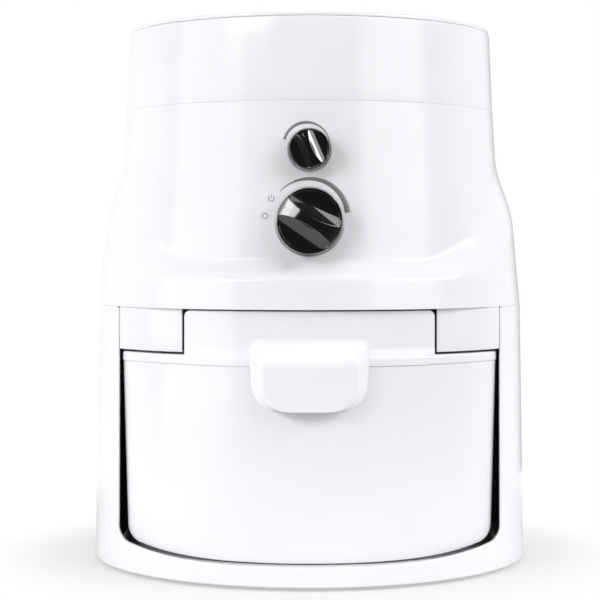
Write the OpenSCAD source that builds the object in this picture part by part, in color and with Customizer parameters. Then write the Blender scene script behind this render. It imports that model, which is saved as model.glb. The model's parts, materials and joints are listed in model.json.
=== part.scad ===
// Electric grain mill with a round body, a hopper on top and a flour bowl that slides out of the front.
// Millimetres, +Z up, -Y to the front, origin on the machine's axis at the level of the table.

/* [Base housing] */
// Radius at the lower edge
base_r = 134.5; // [130:0.5:140]
// Loss of radius from the lower edge to the seam
base_taper = 2.1; // [1:0.1:4]
// Height of the housing without its feet
base_h = 156; // [150:1:165]
// Wall thickness
base_wall = 3; // [2:0.2:4]
// Height of the lip that closes the opening at the bottom
lip_h = 11.5; // [8:0.5:14]
// Rise of the lip's top edge from its middle to the opening's sides
lip_lift = 7.3; // [3:0.1:8]
// Thickness of the bay floor behind the lip
floor_t = 3; // [2:0.2:4]
// Width of the wall that is left beside the front opening, seen from the front
opening_side = 21.2; // [18:0.2:26]
// Radius of the lower corners of the opening
opening_corner_r = 9; // [7:0.5:12]
// Width of the ledge that carries the deck
ledge_w = 10; // [8:0.5:14]
// Thickness of the ledge
ledge_t = 4; // [3:0.5:6]
// Height that the rubber feet stand out below the base
foot_out = 2; // [1:0.5:4]
// Radius of a rubber foot
foot_r = 9; // [6:0.5:12]
// Distance of the feet from the base's edge
foot_inset = 22.5; // [18:0.5:34]

/* [Deck] */
// Thickness of the deck plate and of its walls
deck_t = 3; // [2:0.2:4]
// Distance that the deck's front lies inside the base's lower edge
deck_inset = 6.5; // [6:0.1:9]
// Height of the shoulder blocks below the seam
shoulder_block_h = 25; // [20:0.5:30]

/* [Upper housing] */
// Height from the seam at the base to the seam at the hopper
upper_h = 119.3; // [112:0.1:130]
// Step in radius from the base to the skirt at the seam
skirt_step = 0.2; // [0:0.1:1]
// Loss of skirt radius for each millimetre of height
skirt_draft = 0.086; // [0.06:0.002:0.11]
// Distance that the barrel lies inside the skirt
shoulder_in = 16.9; // [12:0.1:22]
// Gain of barrel radius for each millimetre downwards
barrel_draft = 0.06; // [0.04:0.005:0.08]
// Wall thickness
upper_wall = 2.8; // [2:0.2:4]
// Height of the shoulder's foot above the seam, in front
sweep_low = 16; // [12:0.5:20]
// Height of the shoulder's crest above the seam, in front
sweep_high = 29; // [25:0.5:34]
// Extra height of the shoulder's foot at the sides and back
sweep_low_rise = 35; // [20:1:40]
// Extra height of the shoulder's crest at the sides and back
sweep_high_rise = 63; // [50:1:70]

/* [Hopper] */
// Height of the hopper band
band_h = 48.7; // [40:0.1:56]
// Loss of radius from the foot of the band to its top
band_taper = 2.1; // [1:0.1:5]
// Wall thickness of the hopper
hopper_wall = 2.6; // [2:0.2:4]
// Depth of the straight wall inside, above the funnel
funnel_drop = 9; // [5:0.5:14]
// Inside radius of the outlet
outlet_r = 14; // [10:0.5:16]
// Thickness of the lid's flange
lid_t = 2.4; // [1.6:0.1:4]
// Depth of the lid's plug rim inside the band
lid_plug_h = 6; // [4:0.5:7]

/* [Flour bowl] */
// Distance that the front of the bowl's rim lies inside the base's lower edge
bowl_inset = 5.2; // [4.5:0.1:9]
// Loss of the front's radius from the rim to the foot
bowl_taper = 2.1; // [1:0.1:6]
// Clearance on each side of the bowl's rim in the opening
bowl_side_gap = 1.2; // [0.8:0.1:4]
// Loss of half width from the rim to the foot
bowl_side_taper = 3.4; // [2:0.1:6]
// Clearance between the bowl's back and the base's edge
bowl_back_gap = 18.5; // [18:0.5:24]
// Height of the bowl
bowl_h = 111.7; // [105:0.1:115]
// Wall thickness of the bowl
bowl_wall = 2.6; // [2:0.2:4]
// Radius of the bowl's lower corners in the front view
bowl_edge_r = 9; // [7:0.5:12]
// Height of the runners under the bowl
runner_h = 0.5; // [0.5:0.1:1.2]
// Distance that the foot of the bowl's front curls in
front_curl = 2.2; // [1:0.1:4]

/* [Bowl lid] */
// Height of the lid's rim band
rim_h = 5.5; // [4:0.1:6]
// Distance that the rim band stands out of the bowl's front
rim_out = 0.7; // [0.5:0.1:2.6]
// Clearance on each side of the rim band in the opening
rim_side_gap = 0.8; // [0.6:0.1:2]
// Width of the raised middle
raised_w = 144; // [130:0.5:150]
// Step from the rim band in to the raised middle
raised_in = 1; // [0.6:0.1:2]
// Radius of the raised middle's long edges
raised_edge_r = 3.5; // [2:0.5:5]
// Wall thickness of the lid
lid_wall = 2.5; // [2:0.1:3.5]

/* [Pull] */
// Width of the pull where it leaves the lid
pull_root_w = 68; // [60:1:76]
// Width of the pull across its face
pull_face_w = 57; // [50:1:60]
// How far the pull stands out of the raised middle
pull_out = 10; // [7:0.5:11]
// Height of the pull's lower edge above the table
pull_low_z = 101; // [95:0.5:106]
// Height at which the pull flows into the raised middle
pull_top_z = 142; // [138:0.5:148]
// Radius of the lower corners of the pull
pull_corner_r = 15; // [10:1:18]
// Wall thickness of the pull
pull_wall = 2.6; // [2:0.2:3.4]

/* [Feed knob] */
// Diameter of the feed knob
feed_knob_d = 38; // [34:0.5:42]
// How far the feed knob stands out of the panel
feed_knob_out = 16.5; // [12:0.5:20]
// Height of the feed knob above the lower seam
feed_knob_up = 50; // [48:0.5:54]

/* [Speed knob] */
// Diameter of the speed knob
speed_knob_d = 23.3; // [20:0.1:26]
// How far the speed knob stands out of the panel
speed_knob_out = 12.5; // [10:0.5:15]
// Height of the speed knob above the lower seam
speed_knob_up = 90.8; // [88:0.1:94]

/* [Knob details] */
// Depth of the two finger scoops as a part of the knob's own height
scoop_depth = 0.62; // [0.4:0.02:0.7]
// Width of the grip bar as a part of the knob's diameter
grip_share = 0.24; // [0.2:0.01:0.3]
// Depth of the flat land that is sunk into the panel for each knob
land_depth = 1.8; // [1.6:0.1:2.2]

/* [Motor] */
// Radius of the motor shaft
shaft_r = 4; // [3:0.5:5]
// Height of the rubber bushes under the motor
bush_h = 4; // [3:0.5:6]
// Thickness of the end brackets
bracket_t = 4; // [3:0.5:5]
// Outer radius of a ball bearing
bearing_r = 11; // [10:0.5:13]
// Height of a ball bearing
bearing_h = 7; // [6:0.5:8]
// Height of the commutator
commutator_h = 8; // [6:0.5:10]
// Radius of the commutator
commutator_r = 12; // [10:0.5:13]
// Height of the end turns of the armature
end_turn_h = 5; // [4:0.5:6]
// Height of the laminated core
core_h = 24; // [20:1:26]
// Radius of the armature
armature_r = 23.6; // [21:0.2:25]
// Number of armature slots
armature_slots = 12; // [8:1:16]
// Width across the flats of the stator
stator_w = 80; // [76:1:84]
// Corner radius of the stator, from the axis
stator_r = 47; // [46:0.5:50]
// Height of the cooling fan
fan_h = 4.5; // [3.5:0.5:6]
// Radius of the cooling fan
fan_r = 34; // [30:0.5:36]
// Number of fan blades
fan_blades = 11; // [7:1:15]

/* [Mill] */
// Outer radius of the mill chamber
chamber_r = 60; // [56:0.5:64]
// Wall thickness of the mill chamber
chamber_wall = 3.5; // [3:0.1:4]
// Height of the mill chamber up to its seal
chamber_h = 17; // [16:0.5:20]
// Thickness of each mill disc
disc_t = 3; // [2:0.2:3.4]
// Height of the teeth on the mill discs
tooth_h = 6; // [4:0.2:6.4]
// Radial thickness of a tooth
tooth_t = 3; // [2:0.2:3.4]
// Radial pitch between a ring of turning teeth and the next ring of fixed teeth
ring_pitch = 5; // [4.4:0.1:5.4]
// Radius of the innermost ring of teeth
first_ring_r = 19; // [17:0.5:21]
// Thickness of the chamber seal
seal_t = 1; // [0.6:0.1:1.4]
// Thickness of the mill cover
cover_t = 3; // [2.4:0.2:4]
// Distance of the flour duct from the axis
duct_y = 78; // [76:1:84]
// Inside radius of the flour duct
duct_r = 12; // [10:0.5:13]

/* [Feed gear] */
// Pitch radius of the feed pinion
pinion_pitch_r = 6; // [5:0.2:7]
// Number of teeth of the feed pinion
pinion_teeth = 12; // [10:1:16]
// Radius of the feed shaft
feed_shaft_r = 3; // [2.5:0.1:3.5]
// Radius of the speed control's shaft
speed_shaft_r = 2.5; // [2:0.1:3]
// Distance of the feed rack's middle plane from the axis
rack_y = 68; // [67:0.5:72]

/* [Hidden] */

$fn = 96;
ring_n = 72; // points in a ring of a lofted shell
e = 0.01; // overshoot of a cut
gap = 0.3; // clearance between pieces that move apart
fit_gap = 0.05; // radial clearance of a shaft in its bore
white = [0.95, 0.95, 0.97];
black = [0.05, 0.05, 0.06];
grey = [0.6, 0.6, 0.62];
steel = [0.72, 0.73, 0.75];
copper = [0.75, 0.42, 0.2];
rubber = [0.12, 0.12, 0.12];

// travel of the feed gear from rest: a turn of the knob up to full feed and down to the stop
feed_open_deg = 138.5;
feed_shut_deg = 23;
feed_lift = pinion_pitch_r * feed_open_deg * PI / 180;
feed_drop = pinion_pitch_r * feed_shut_deg * PI / 180;

// heights
base_z = foot_out;
lip_z = base_z + lip_h;
seam_z = base_z + base_h;
deck_z = seam_z + deck_t;
upper_top_z = seam_z + upper_h;
band_top_z = upper_top_z + band_h;
bowl_z = lip_z + gap + runner_h;
rim_z = bowl_z + bowl_h;
raised_top_z = seam_z - 1;
bush_top_z = deck_z + bush_h;
lower_bearing_z = bush_top_z + 0.5;
bracket_low_top = bush_top_z + bracket_t;
commutator_z = lower_bearing_z + bearing_h + 2;
low_turn_z = commutator_z + commutator_h + 0.5;
core_z = low_turn_z + end_turn_h;
high_turn_z = core_z + core_h;
fan_z = high_turn_z + end_turn_h + 1;
upper_bearing_z = fan_z + fan_h + 2.5;
bracket_top_z = upper_bearing_z + bearing_h + 0.5;
chamber_z = bracket_top_z;
turning_disc_z = chamber_z + chamber_wall + 1.5;
rim_seal_z = chamber_z + chamber_h;
cover_z = rim_seal_z + seal_t;
fixed_disc_z = cover_z - disc_t;
cover_top_z = cover_z + cover_t;
arm_z = cover_top_z + 3.5;
throat_top_z = arm_z + 3 + feed_lift + 1;
outlet_z = throat_top_z + 3;

// radii and places
base_top_r = base_r - base_taper;
base_top_inner_r = base_top_r - base_wall;
skirt_r = base_top_r - skirt_step;
barrel_r = skirt_r - shoulder_in;
band_top_r = barrel_r - band_taper;
opening_w = 2 * (base_r - opening_side);
foot_circle_r = base_r - foot_inset;
bowl_top_r = base_r - bowl_inset;
bowl_low_r = bowl_top_r - bowl_taper;
bowl_top_w = opening_w - 2 * bowl_side_gap;
bowl_low_w = bowl_top_w - 2 * bowl_side_taper;
bowl_back_r = base_r - bowl_back_gap;
deck_front_r = base_r - deck_inset;
rim_r = bowl_top_r + rim_out;
rim_w = opening_w - 2 * rim_side_gap;
raised_r = rim_r - raised_in;
ledge_r = base_top_inner_r - ledge_w;
shoulder_in_x = raised_w / 2 + 1.5;
shoulder_out_x = opening_w / 2 - 0.1;
opening_y = -base_r * 0.42; // the opening's cut ends here, well behind its edges
deck_back_y = opening_y + 4;
screw_angles = [-15, 40, 140, 195];
screw_circle_r = base_top_inner_r - 4.6;
post_r = 5.6;
screw_r = 2;
motor_post_xy = 31;
motor_post_r = 4;
bush_xy = 34;
window_a = 52; // angle that the rear grille spans
window_low = 8; // above the seam
window_h = 30;
chamber_in_r = chamber_r - chamber_wall;
guide_y = chamber_r + 1.5;
feed_z = seam_z + feed_knob_up;
speed_z = seam_z + speed_knob_up;
nut_t = 2;
bushing_r = 4.5;
boss_t = 3.2;
function land_y(z) = -(barrel_at(z) - land_depth);

function smooth(t) = let (c = min(1, max(0, t))) c * c * (3 - 2 * c);
function front_angle(a) = let (d = abs(((a + 90) % 360 + 360) % 360)) min(d, 360 - d);

// Radius of the upper housing where it faces the front, at height z
function barrel_at(z) = barrel_r + barrel_draft * (upper_top_z - z);
function skirt_at(z) = skirt_r - skirt_draft * (z - seam_z);
function sweep_low_at(a) = seam_z + sweep_low + sweep_low_rise * smooth((front_angle(a) - 45) / 45);
function sweep_high_at(a) = seam_z + sweep_high + sweep_high_rise * smooth((front_angle(a) - 30) / 60);
function housing_r(a, z) = let (t = (z - sweep_low_at(a)) / (sweep_high_at(a) - sweep_low_at(a)))
    barrel_at(z) + (skirt_at(z) - barrel_at(z)) * (1 - smooth(t));

// Height of loft row s at angle a: 0 to 1 is the skirt, 1 to 2 the swept shoulder, 2 to 3 the barrel
function row_z(a, s) = s <= 1 ? seam_z + (sweep_low_at(a) - seam_z) * s
    : s <= 2 ? sweep_low_at(a) + (sweep_high_at(a) - sweep_low_at(a)) * (s - 1)
    : sweep_high_at(a) + (upper_top_z - sweep_high_at(a)) * (s - 2);
function housing_ring(s, inset) = [for (i = [0 : ring_n - 1]) let (a = i * 360 / ring_n,
    z = row_z(a, s), r = housing_r(a, z) - inset) [r * cos(a), r * sin(a), z]];
function circle_ring(r, z) = [for (i = [0 : ring_n - 1]) let (a = i * 360 / ring_n)
    [r * cos(a), r * sin(a), z]];

// Plan of the bowl: arcs in front and behind, blended into straight sides
function plan_r(a, front, back, half_w) = let (r = sin(a) < 0 ? front : back
    + (front - back) * pow(1 - sin(a), 6), p = 90) r / pow(1 + pow(r * abs(cos(a)) / half_w, p), 1 / p);
function plan_ring(front, back, half_w, z) = [for (i = [0 : ring_n - 1]) let (a = i * 360 / ring_n,
    r = plan_r(a, front, back, half_w)) [r * cos(a), r * sin(a), z]];
function flat(points) = [for (p = points) [p[0], p[1]]];

// Solid through a stack of rings; closed = true joins the last ring to the first, as in a pipe's wall
module loft(rings, closed = false) {
    n = len(rings[0]);
    m = len(rings);
    rows = closed ? m : m - 1;
    sides = [for (i = [0 : rows - 1], j = [0 : n - 1]) let (a = i * n + j, b = i * n + (j + 1) % n,
        c = ((i + 1) % m) * n + (j + 1) % n, d = ((i + 1) % m) * n + j) each [[a, c, b], [a, d, c]]];
    // each end is a fan round the middle of its ring
    middles = closed ? [] : [for (r = [rings[0], rings[m - 1]]) [for (k = [0 : 2]) mean([for (p = r) p[k]])]];
    caps = closed ? [] : [for (j = [0 : n - 1]) let (k = (j + 1) % n) each
        [[m * n, j, k], [m * n + 1, (m - 1) * n + k, (m - 1) * n + j]]];
    polyhedron(concat([for (r = rings) each r], middles), concat(sides, caps));
}
function mean(v, i = 0, total = 0) = i == len(v) ? total / i : mean(v, i + 1, total + v[i]);

// Ring with a rectangular section
module tube(outer, inner, z0, z1) {
    translate([0, 0, z0]) difference() {
        cylinder(h = z1 - z0, r = outer);
        translate([0, 0, -e]) cylinder(h = z1 - z0 + 2 * e, r = inner);
    }
}

// Cylinder along +Y from y0 to y1
module rod_y(r, y0, y1, x = 0, z = 0) {
    translate([x, y0, z]) rotate([-90, 0, 0]) cylinder(h = y1 - y0, r = r, $fn = 48);
}

// Rectangle with two round lower corners, in the XZ plane, drawn as XY
module round_foot_2d(w, h, r) {
    translate([-w / 2, r]) square([w, h - r]);
    translate([-w / 2 + r, 0]) square([w - 2 * r, r]);
    for (s = [-1, 1]) translate([s * (w / 2 - r), r]) circle(r);
}

// ---- base ----

// Rise of the lip's top edge above its middle, at a distance x from the middle
function lip_rise(x) = lip_lift * pow(2 * abs(x) / opening_w, 4);
corner_turn = 12; // slope of the lip's edge where a corner starts
// Height of a corner's centre above the lip, for a corner of radius r in a shape of half width w
function corner_z(w, r) = lip_rise(w - r + r * sin(corner_turn)) + r * cos(corner_turn);

// Front opening in the XZ plane, drawn as XY with 0 at the middle of the lip
module opening_2d() {
    w = opening_w / 2;
    r = opening_corner_r;
    start = w - r + r * sin(corner_turn);
    z = corner_z(w, r);
    translate([-w, z]) square([2 * w, base_h - z]);
    polygon(concat([for (i = [-12 : 12]) [start * i / 12, lip_rise(start * i / 12)]], [[start, z + 1], [-start, z + 1]]));
    for (s = [-1, 1]) translate([s * (w - r), z]) circle(r);
}

module base_housing() {
    inner_low_r = base_r - base_wall;
    color(white) difference() {
        union() {
            rotate_extrude() polygon([[base_r, base_z], [base_top_r, seam_z], [base_top_inner_r, seam_z],
                [inner_low_r, base_z]]);
            translate([0, 0, lip_z - floor_t]) cylinder(h = floor_t, r = inner_low_r + 0.5);
            difference() {
                tube(base_top_inner_r + 1, ledge_r, seam_z - ledge_t, seam_z);
                translate([-base_r, -2 * base_r + deck_back_y + gap, 0]) cube([2 * base_r, 2 * base_r, 300]);
            }
            // ribs under the floor
            for (a = [0 : 45 : 315]) rotate(a + 22.5) translate([20, -1.2, base_z + 1])
                cube([inner_low_r - 19, 2.4, lip_z - floor_t - base_z - 1 + e]);
            tube(22, 19.6, base_z + 1, lip_z - floor_t + e);
            foot_places() translate([0, 0, base_z + 2]) cylinder(h = lip_z - floor_t - base_z - 2 + e, r = foot_r + 2);
            // low rails that keep the bowl straight
            for (s = [-1, 1]) translate([s * (bowl_low_w / 2 + 3.5) - 1.2, -56, lip_z - e]) cube([2.4, 106, 6]);
        }
        translate([0, opening_y, lip_z]) rotate([90, 0, 0]) linear_extrude(base_r) opening_2d();
        foot_places() translate([0, 0, base_z + 2 - e]) cylinder(h = 3, r = 3.6);
        rod_y(5.6, base_top_inner_r - 5, base_r + 5, z = gland_z);
        housing_screw_places() translate([0, 0, seam_z - ledge_t - e]) cylinder(h = ledge_t + 1, r = screw_r + 0.1);
    }
}

gland_z = base_z + 28;
module foot_places() for (a = [45 : 90 : 315]) rotate(a) translate([foot_circle_r, 0, 0]) children();
module housing_screw_places() for (a = screw_angles) rotate(a) translate([screw_circle_r, 0, 0]) children();

module rubber_feet() color(rubber) foot_places() {
    cylinder(h = base_z + 2, r = foot_r);
    cylinder(h = base_z + 4.8, r = 3.5);
}

// Strain relief for the mains cord: a neck in the wall with a flange on each side
module cord_gland() {
    wall_r = base_r - (base_r - base_top_r) * (gland_z - base_z) / base_h;
    color(rubber) difference() {
        union() {
            rod_y(8.5, wall_r + 0.25, wall_r + 2.8, z = gland_z);
            rod_y(5.5, wall_r - base_wall - 2.5, wall_r + 1, z = gland_z);
            rod_y(7.5, wall_r - base_wall - 2.6, wall_r - base_wall - 0.5, z = gland_z);
        }
        rod_y(3.6, wall_r - base_wall - 4, wall_r + 4, z = gland_z);
    }
}

// ---- deck above the bowl bay ----

// Plan of the space in front of the ledge and inside it
module inside_ledge_2d(inset) {
    circle(ledge_r - gap - inset);
    translate([-base_r, -2 * base_r + deck_back_y - inset]) square(2 * base_r);
}

module shoulder_2d(inset) for (s = [-1, 1]) intersection() {
    circle(deck_front_r - inset);
    translate([min(s * (shoulder_in_x + inset), s * (shoulder_out_x - inset)), -deck_front_r])
        square([shoulder_out_x - shoulder_in_x - 2 * inset, 2 * deck_front_r]);
    inside_ledge_2d(inset);
}

module bowl_deck() color(white) difference() {
    union() {
        translate([0, 0, seam_z]) cylinder(h = deck_t, r = base_top_inner_r - 0.4);
        translate([0, 0, seam_z - shoulder_block_h]) linear_extrude(shoulder_block_h + e) shoulder_2d(0);
        // spigots that locate the motor's bushes
        bush_places() translate([0, 0, deck_z - e]) cylinder(h = bush_h - 1, r = 2.4);
    }
    translate([0, 0, seam_z - shoulder_block_h + deck_t]) linear_extrude(shoulder_block_h + deck_t)
        shoulder_2d(deck_t);
    translate([0, duct_y, seam_z - e]) cylinder(h = deck_t + 1, r = duct_r + 6.2);
    // slots over the filter
    for (i = [-3 : 3]) translate([i * 9 - 2, filter_y - filter_l / 2 + 6, seam_z - 1])
        cube([4, filter_l - 12, deck_t + 2]);
    housing_screw_places() translate([0, 0, seam_z - 1]) cylinder(h = deck_t + 2, r = screw_r + 0.1);
}

module bush_places() for (x = [-1, 1], y = [-1, 1]) translate([x * bush_xy * 1.1, y * bush_xy * 0.5, 0]) children();

// ---- upper housing ----

module upper_housing() {
    rows = [0, 0.5, 1, 1.15, 1.3, 1.45, 1.6, 1.75, 1.9, 2, 2.5, 3];
    inner_rows = [3, 2.5, 2, 1.8, 1.6, 1.4, 1.2, 1, 0.5, 0];
    color(white) difference() {
        union() {
            loft(concat([for (s = rows) housing_ring(s, 0)],
                [for (s = inner_rows) housing_ring(s, upper_wall)]), closed = true);
            panel_boss(feed_knob_d, feed_z);
            panel_boss(speed_knob_d, speed_z);
            housing_screw_places() translate([0, 0, deck_z]) cylinder(h = 16, r = post_r);
        }
        panel_cut(feed_knob_d, feed_z);
        panel_cut(speed_knob_d, speed_z);
        housing_screw_places() translate([0, 0, deck_z - e]) cylinder(h = 14, r = screw_r + fit_gap);
        translate([0, 0, seam_z + window_low]) rotate([0, 0, 90 - window_a / 2])
            rotate_extrude(angle = window_a) translate([barrel_r, 0]) square([2 * shoulder_in, window_h]);
    }
}

module panel_boss(d, z) rod_y(d / 2 + 3, land_y(z), land_y(z) + boss_t, z = z);
module panel_cut(d, z) {
    rod_y(d / 2 + 0.8, -skirt_r - 5, land_y(z), z = z);
    rod_y(bushing_r + 0.1, land_y(z) - e, land_y(z) + boss_t + 1, z = z);
}

// Curved insert of upright bars that fills the window at the back
module rear_grille() {
    side = 0.15; // clearance in the window
    z0 = seam_z + window_low + side;
    z1 = z0 + window_h - 2 * side;
    inset = 0.3;
    bar_pitch = 3.6;
    bar_end = 3.6;
    color(white) difference() {
        rotate([0, 0, 90 - window_a / 2 + 0.1]) rotate_extrude(angle = window_a - 0.2)
            polygon([[skirt_at(z0) - upper_wall, z0], [skirt_at(z0) - inset, z0],
                [skirt_at(z1) - inset, z1], [skirt_at(z1) - upper_wall, z1]]);
        for (a = [-22.5 : 3 : 22.5]) rotate(90 + a) translate([barrel_r, -bar_pitch / 2, z0 + bar_end])
            cube([2 * shoulder_in, bar_pitch, window_h - 2 * bar_end]);
    }
}

module housing_screws() color(steel) housing_screw_places() {
    translate([0, 0, seam_z - ledge_t - 2.4]) cylinder(h = 2.4, r = screw_r * 1.9, $fn = 48);
    translate([0, 0, seam_z - ledge_t - 1]) cylinder(h = ledge_t + deck_t + 11, r = screw_r, $fn = 48);
}

// ---- hopper ----

module hopper() {
    spigot_r = barrel_r - upper_wall - 0.2;
    band_in_r = band_top_r - hopper_wall;
    funnel_z = band_top_z - funnel_drop;
    color(white) rotate_extrude() polygon([[barrel_r, upper_top_z], [band_top_r + 0.05, band_top_z - 1],
        [band_top_r - 0.6, band_top_z], [band_in_r, band_top_z], [band_in_r, funnel_z], [outlet_r, outlet_z],
        [outlet_r, throat_top_z], [outlet_r + hopper_wall, throat_top_z],
        [outlet_r + hopper_wall, outlet_z - hopper_wall / 2], [band_in_r, funnel_z - hopper_wall * 1.1],
        [spigot_r - hopper_wall, upper_top_z - 5], [spigot_r, upper_top_z - 5], [spigot_r, upper_top_z]]);
}

module hopper_lid() {
    r = band_top_r - 0.7;
    z = band_top_z + 0.2;
    edge = lid_t * 0.6;
    plug_r = band_top_r - hopper_wall - gap;
    color(white) rotate_extrude() polygon(concat([[0, z], [plug_r - hopper_wall, z],
        [plug_r - hopper_wall, z - lid_plug_h], [plug_r, z - lid_plug_h], [plug_r, z], [r, z]],
        [for (a = [0 : 15 : 90]) [r - edge + edge * cos(a), z + lid_t - edge + edge * sin(a)]],
        [[r - 8, z + lid_t], [r - 12, z + lid_t - 1], [0, z + lid_t - 1]]));
}

// ---- flour bowl ----

filter_y = -35;
filter_l = 70;
filter_w = 76;
cup_r = 27;
dome_in_z = raised_top_z - lid_wall;

// One ring of the bowl at height z, drawn in by inset; t runs from 0 at the foot to 1 at the rim
function bowl_ring(z, inset, side = 0, front = 0) = let (t = (z - bowl_z) / bowl_h) plan_ring(
    bowl_low_r + (bowl_top_r - bowl_low_r) * t - inset - front,
    bowl_back_r - (bowl_top_r - bowl_low_r) * (1 - t) - inset - 4 * front,
    (bowl_low_w + (bowl_top_w - bowl_low_w) * t) / 2 - inset - side, z);

// The bowl's foot follows the lip's edge: [rise, distance in from the side] from its middle outwards
bowl_foot = let (w = bowl_low_w / 2, r = bowl_edge_r) concat(
    [for (x = [0.33, 0.57, 0.74, 0.85]) [lip_rise(x * w), w - x * w]],
    [for (a = [corner_turn - 90, -52, -26, 0]) [corner_z(w, r) + r * sin(a), r - r * cos(a)]]);
function curl(rise) = front_curl * (1 - sqrt(1 - pow(1 - min(rise / bowl_edge_r, 1), 2)));

module flour_bowl() {
    n = len(bowl_foot) - 1;
    color(white) {
        loft(concat(
            [for (k = bowl_foot) bowl_ring(bowl_z + k[0], 0, k[1], curl(k[0]))],
            [bowl_ring(bowl_z + bowl_h * 0.6, 0), bowl_ring(rim_z, 0), bowl_ring(rim_z, bowl_wall)],
            [bowl_ring(bowl_z + bowl_h * 0.6, bowl_wall)],
            [for (i = [n : -1 : 0]) let (k = bowl_foot[i])
                bowl_ring(bowl_z + bowl_wall + k[0], bowl_wall, k[1], curl(k[0]))]));
        for (s = [-1, 1]) translate([s * 38 - 3, -86, lip_z + gap]) cube([6, 160, runner_h + 1.6]);
    }
}

// Soft ring in the lid's groove, resting on the bowl's rim
module bowl_gasket() color(rubber) loft([bowl_ring(rim_z, 0.5), bowl_ring(rim_z, bowl_wall - 0.2),
    [for (p = bowl_ring(rim_z, bowl_wall - 0.2)) p + [0, 0, 1.4]],
    [for (p = bowl_ring(rim_z, 0.5)) p + [0, 0, 1.4]]], closed = true);

// Raised middle of the lid from height low to its top, drawn in by inset
module raised_solid(inset, low) intersection() {
    w = raised_w - 2 * inset;
    h = raised_top_z - inset - low;
    translate([0, 0, low]) cylinder(h = seam_z - low, r = raised_r - inset);
    translate([0, 0, low]) linear_extrude(seam_z - low) inside_ledge_2d(inset + 0.5);
    translate([0, raised_back - inset, low + h]) rotate([90, 180, 0]) linear_extrude(raised_r + raised_back)
        round_foot_2d(w, h, max(0.5, raised_edge_r - inset));
}
raised_back = bowl_back_r - 8;

module lid_plate(z0, z1, inset) translate([0, 0, z0]) linear_extrude(z1 - z0)
    polygon(flat(plan_ring(rim_r - inset, bowl_back_r + 1.5 - inset, rim_w / 2 - inset, 0)));

module bowl_lid() color(white) difference() {
    union() {
        lid_plate(rim_z, rim_z + rim_h, 0);
        raised_solid(0, rim_z + 0.5);
        pull();
        // skirt that drops inside the bowl's rim
        difference() {
            translate([0, 0, rim_z - 5]) linear_extrude(6) polygon(flat(bowl_ring(rim_z, bowl_wall + 0.6)));
            translate([0, 0, rim_z - 6]) linear_extrude(8)
                polygon(flat(bowl_ring(rim_z, bowl_wall + 0.6 + lid_wall)));
        }
        translate([0, duct_y, dome_in_z - 6]) cylinder(h = 7, r = duct_r + 3);
    }
    difference() {
        raised_solid(lid_wall, rim_z + lid_wall);
        translate([0, duct_y, dome_in_z - 6 - e]) cylinder(h = 9, r = duct_r + 3);
    }
    // the middle is open to the bowl
    intersection() {
        translate([0, 0, rim_z - 6]) cylinder(h = lid_wall + 6.1, r = raised_r - lid_wall - 5);
        translate([-raised_w / 2 + lid_wall + 1, -raised_r, rim_z - 7])
            cube([raised_w - 2 * lid_wall - 2, raised_r + raised_back - lid_wall - 2.5, 20]);
    }
    // groove for the gasket
    translate([0, 0, -e]) difference() {
        linear_extrude(rim_z + 1.4 + 2 * e) polygon(flat(bowl_ring(rim_z, 0.4)));
        linear_extrude(rim_z + 2 + 2 * e) polygon(flat(bowl_ring(rim_z, bowl_wall - 0.1)));
    }
    translate([0, duct_y, rim_z]) cylinder(h = 60, r = duct_r);
    for (i = [-3 : 3]) translate([i * 9 - 2, filter_y - filter_l / 2 + 6, dome_in_z - 1])
        cube([4, filter_l - 12, 10]);
}

// Pull: a hood that swells out of the raised middle, closed at the sides and open underneath.
// t runs from 0 at its root to 1 at its face.
function pull_half_w(t) = (pull_root_w + (pull_face_w - pull_root_w) * smooth(t * 0.9)) / 2;
function pull_top(t) = pull_top_z - (pull_top_z - rim_z) * smooth(t);
function pull_r(t) = raised_r - 0.5 + (pull_out + 0.5) * t;
// Half outline from the top centre, round the side, to the bottom centre
function pull_half(t, inset) = let (w = pull_half_w(t) - inset, top = pull_top(t) - inset * 1.4,
    low = pull_low_z + inset, c = pull_corner_r - inset * 0.5, k = 10) concat(
    [for (x = [0 : 0.25 : 0.75]) [x * (w - k), top]],
    [for (a = [90 : -15 : 0]) [w - k + k * cos(a), top - k + k * sin(a)]],
    [for (f = [0.5, 1]) [w - (w * 0.03) * f, top - k + (low + c - top + k) * f]],
    [for (a = [-18 : -18 : -90]) [w * 0.97 - c + c * cos(a), low + c + c * sin(a)]],
    [[(w * 0.97 - c) / 2, low]]);
function pull_ring(t, inset) = let (h = pull_half(t, inset), n = len(h), r = pull_r(t) - (t > 0.5 ? inset : 0),
    loop = concat([for (i = [1 : n - 1]) [-h[i][0], h[i][1]]], [[0, pull_low_z + inset]],
        [for (i = [n - 1 : -1 : 0]) h[i]]))
    [for (p = loop) [p[0], -sqrt(r * r - p[0] * p[0]), p[1]]];

// Ring on the face of the pull, shrunk by k towards its middle
function pull_face(k) = let (mid_z = (pull_top(1) + pull_low_z) / 2, r = pull_r(1)) [for (p = pull_ring(1, 1.2))
    [p[0] * k, -sqrt(r * r - p[0] * p[0] * k * k), mid_z + (p[2] - mid_z) * k]];

module pull() difference() {
    loft(concat([for (t = [0, 0.2, 0.4, 0.6, 0.75, 0.88, 0.96, 1]) pull_ring(t, t > 0.9 ? (t - 0.9) * 12 : 0)],
        [for (k = [0.66, 0.33]) pull_face(k)]));
    // finger space, open underneath and towards the bowl
    difference() {
        loft([for (t = [0, 0.3, 0.6, 1]) [for (p = pull_ring(t, pull_wall))
            [p[0], p[1] + (t == 0 ? 4 : 0), p[2] - (p[2] < pull_low_z + pull_wall + 0.1 ? 20 : 0)]]]);
        translate([0, 0, rim_z - 0.6]) cylinder(h = 30, r = rim_r);
    }
    translate([0, 0, pull_low_z - 1]) cylinder(h = rim_z - pull_low_z + 1, r = bowl_top_r + gap);
}

// ---- pieces under the lid ----

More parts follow.
